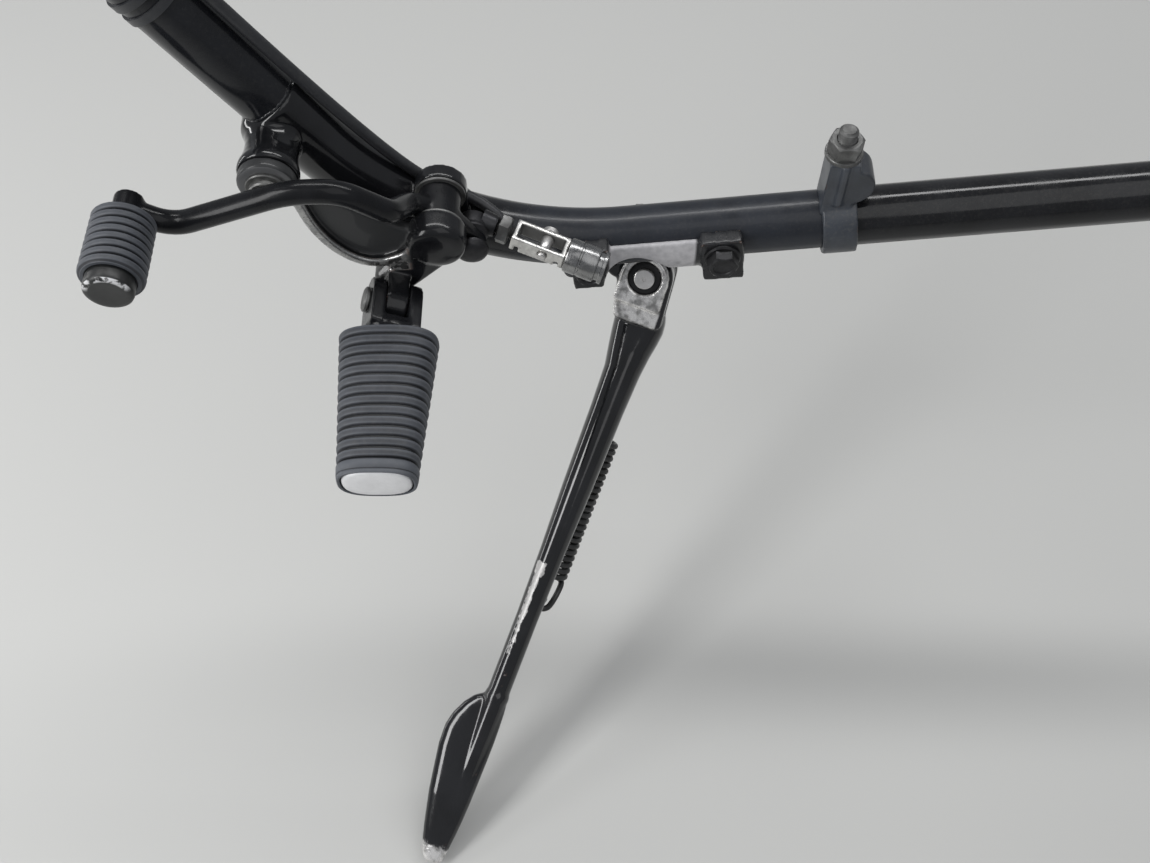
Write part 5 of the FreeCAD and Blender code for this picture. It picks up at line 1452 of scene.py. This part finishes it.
def spring_points(settings):
    """Points along the spring's wire: the eye on the pivot bolt, the coil and the eye on the leg's peg."""
    away = LEG_SIDE * 3.5 - LEG_OUT * SPRING_OFF
    axis = LEG_START + (LEG_RUN * SPRING_START + away) * MM
    inboard = -LEG_OUT.normalized()
    other = LEG_RUN.cross(inboard)
    radius = (settings.across - settings.wire) / 2
    high = in_head(0, 0, CHEEKS[1][0] - 9.0)
    points = arc(high, STAND_DOWN, STAND_BACK, -230, 0, BOLT_EYE)
    start = axis + inboard * radius
    points.append(points[-1] * 0.7 + start * 0.3)
    points.append(points[-1] * 0.2 + (start - LEG_RUN * 5 * MM) * 0.8)
    per_turn = 10
    for step in range(settings.turns * per_turn + 3):
        angle = TURN * step / per_turn
        round_axis = inboard * math.cos(angle) + other * math.sin(angle)
        points.append(axis + round_axis * radius + LEG_RUN * settings.pitch * step / per_turn)
    low = LEG_START + (LEG_RUN * PEG_DOWN + away) * MM
    side = LEG_RUN.cross(away).normalized()
    points.append(low + (side * 5.6 - LEG_RUN * 3.0) * MM)
    return points + arc(low, side, LEG_RUN, 0, 250, PEG_EYE)


class FRAMERAIL_OT_spring(bpy.types.Operator):
    """Wind the stand's return spring with its two eyes"""
    bl_idname = "frame_rail.spring"
    bl_label = "Return spring"

    def execute(self, context):
        settings = context.scene.rail_spring
        spring = curved("spring", spring_points(settings), settings.wire, order=4, steps=4)
        piece("spring_wire", applied(spring), "stand", "spring_steel", ("return_spring",))
        return {"FINISHED"}


# The stage

# The camera, fitted to the photograph: its place and direction, and its lens in pixels of a frame this wide
CAMERA_PLACE = (-0.19328, 0.3742, 0.25099)
CAMERA_VIEW = Vector((0, -0.5150, -0.8572))
PHOTO_WIDTH = 1150
FOCAL_PIXELS = 1300


def lamp(name, place, target, size, size_y, power):
    """An oblong lamp that faces its target."""
    data = bpy.data.lights.new(name, "AREA")
    data.shape = "RECTANGLE"
    data.size = size
    data.size_y = size_y
    data.energy = power
    obj = bpy.data.objects.new(name, data)
    bpy.context.scene.collection.objects.link(obj)
    obj.location = place
    obj.rotation_mode = "QUATERNION"
    obj.rotation_quaternion = (Vector(target) - Vector(place)).to_track_quat("-Z", "Y")
    return obj


class FRAMERAIL_OT_stage(bpy.types.Operator):
    """Set the camera, the lamps and the plain floor"""
    bl_idname = "frame_rail.stage"
    bl_label = "Stage"

    def execute(self, context):
        scene = context.scene
        settings = scene.rail_stage
        camera = bpy.data.objects.new("camera", bpy.data.cameras.new("camera"))
        scene.collection.objects.link(camera)
        scene.camera = camera
        camera.data.sensor_width = 36.0
        camera.data.lens = camera.data.sensor_width * FOCAL_PIXELS / PHOTO_WIDTH
        camera.data.clip_start = 0.01
        camera.location = CAMERA_PLACE
        camera.rotation_mode = "QUATERNION"
        camera.rotation_quaternion = CAMERA_VIEW.to_track_quat("-Z", "Y")
        world = bpy.data.worlds.new("studio")
        scene.world = world
        world.use_nodes = True
        world.node_tree.nodes["Background"].inputs[0].default_value = (0.92, 0.95, 1.0, 1.0)
        world.node_tree.nodes["Background"].inputs[1].default_value = settings.sky
        low, high = CAD_BOX
        middle = (low + high) / 2
        lamp("overhead", middle + Vector((0, -0.75, 1.25)), middle, 2.4, 0.20, settings.strip)
        lamp("fill", middle + Vector((-0.5, 0.7, 1.6)), middle, 1.6, 1.6, settings.fill)
        beyond = LEG_START + LEG_RUN * 0.36
        for name, direction, wide, share in (("front_upper", Vector((0.631, 0.192, 0.757)), 0.24, 1),
                                             ("front_lower", Vector((0.926, -0.364, 0.188)), 0.08, 1 / 3)):
            place = beyond + direction.normalized()
            strip = lamp(name, place, beyond, 0.9, wide, settings.front * share)
            strip.rotation_quaternion = upright(place, direction, LEG_RUN).to_quaternion()
        bpy.ops.mesh.primitive_plane_add(size=6, location=(middle.x, middle.y, low.z - 0.001))
        floor = context.object
        floor.name = "floor"
        Finish("floor").finish(rgb(settings.floor), 0.7)
        floor.data.materials.append(MADE["floor"])
        scene.view_settings.view_transform = "Standard"
        return {"FINISHED"}


class FRAMERAIL_OT_finishes(bpy.types.Operator):
    """Mix the paints, metals and rubbers, and finish the pieces that keep their own shape"""
    bl_idname = "frame_rail.finishes"
    bl_label = "Finishes"

    def execute(self, context):
        mix_finishes()
        finish_nodes()
        return {"FINISHED"}


STEPS = (  # in the order in which main() takes them
    FRAMERAIL_OT_finishes,
    FRAMERAIL_OT_stage,
    FRAMERAIL_OT_lead,
    FRAMERAIL_OT_rail,
    FRAMERAIL_OT_joint_lugs,
    FRAMERAIL_OT_engine_mount,
    FRAMERAIL_OT_footrest_bracket,
    FRAMERAIL_OT_gear_lever,
    FRAMERAIL_OT_linkage,
    FRAMERAIL_OT_footrest,
    FRAMERAIL_OT_stand_bracket,
    FRAMERAIL_OT_stand,
    FRAMERAIL_OT_spring,
)


class FRAMERAIL_PT_panel(bpy.types.Panel):
    """Sizes, colours and steps of the frame rail"""
    bl_idname = "FRAMERAIL_PT_panel"
    bl_label = "Frame rail"
    bl_space_type = "VIEW_3D"
    bl_region_type = "UI"
    bl_category = "Frame rail"

    def draw(self, context):
        for step in STEPS:
            self.layout.operator(step.bl_idname)
        for name, group in GROUPS.items():
            box = self.layout.box()
            box.label(text=group.__doc__.split(".")[0])
            for field in group.__annotations__:
                box.prop(getattr(context.scene, name), field)


def register():
    for group in GROUPS.values():
        bpy.utils.register_class(group)
    for name, group in GROUPS.items():
        setattr(bpy.types.Scene, name, PointerProperty(type=group))
    for step in STEPS:
        bpy.utils.register_class(step)
    bpy.utils.register_class(FRAMERAIL_PT_panel)


def unregister():
    bpy.utils.unregister_class(FRAMERAIL_PT_panel)
    for step in reversed(STEPS):
        bpy.utils.unregister_class(step)
    for name in GROUPS:
        delattr(bpy.types.Scene, name)
    for group in reversed(GROUPS.values()):
        bpy.utils.unregister_class(group)


def main():
    register()
    bpy.ops.frame_rail.finishes()
    bpy.ops.frame_rail.stage()
    bpy.ops.frame_rail.lead()
    bpy.ops.frame_rail.rail()
    bpy.ops.frame_rail.joint_lugs()
    bpy.ops.frame_rail.engine_mount()
    bpy.ops.frame_rail.footrest_bracket()
    bpy.ops.frame_rail.gear_lever()
    bpy.ops.frame_rail.linkage()
    bpy.ops.frame_rail.footrest()
    bpy.ops.frame_rail.stand_bracket()
    bpy.ops.frame_rail.stand()
    bpy.ops.frame_rail.spring()


if __name__ == "__main__":
    main()
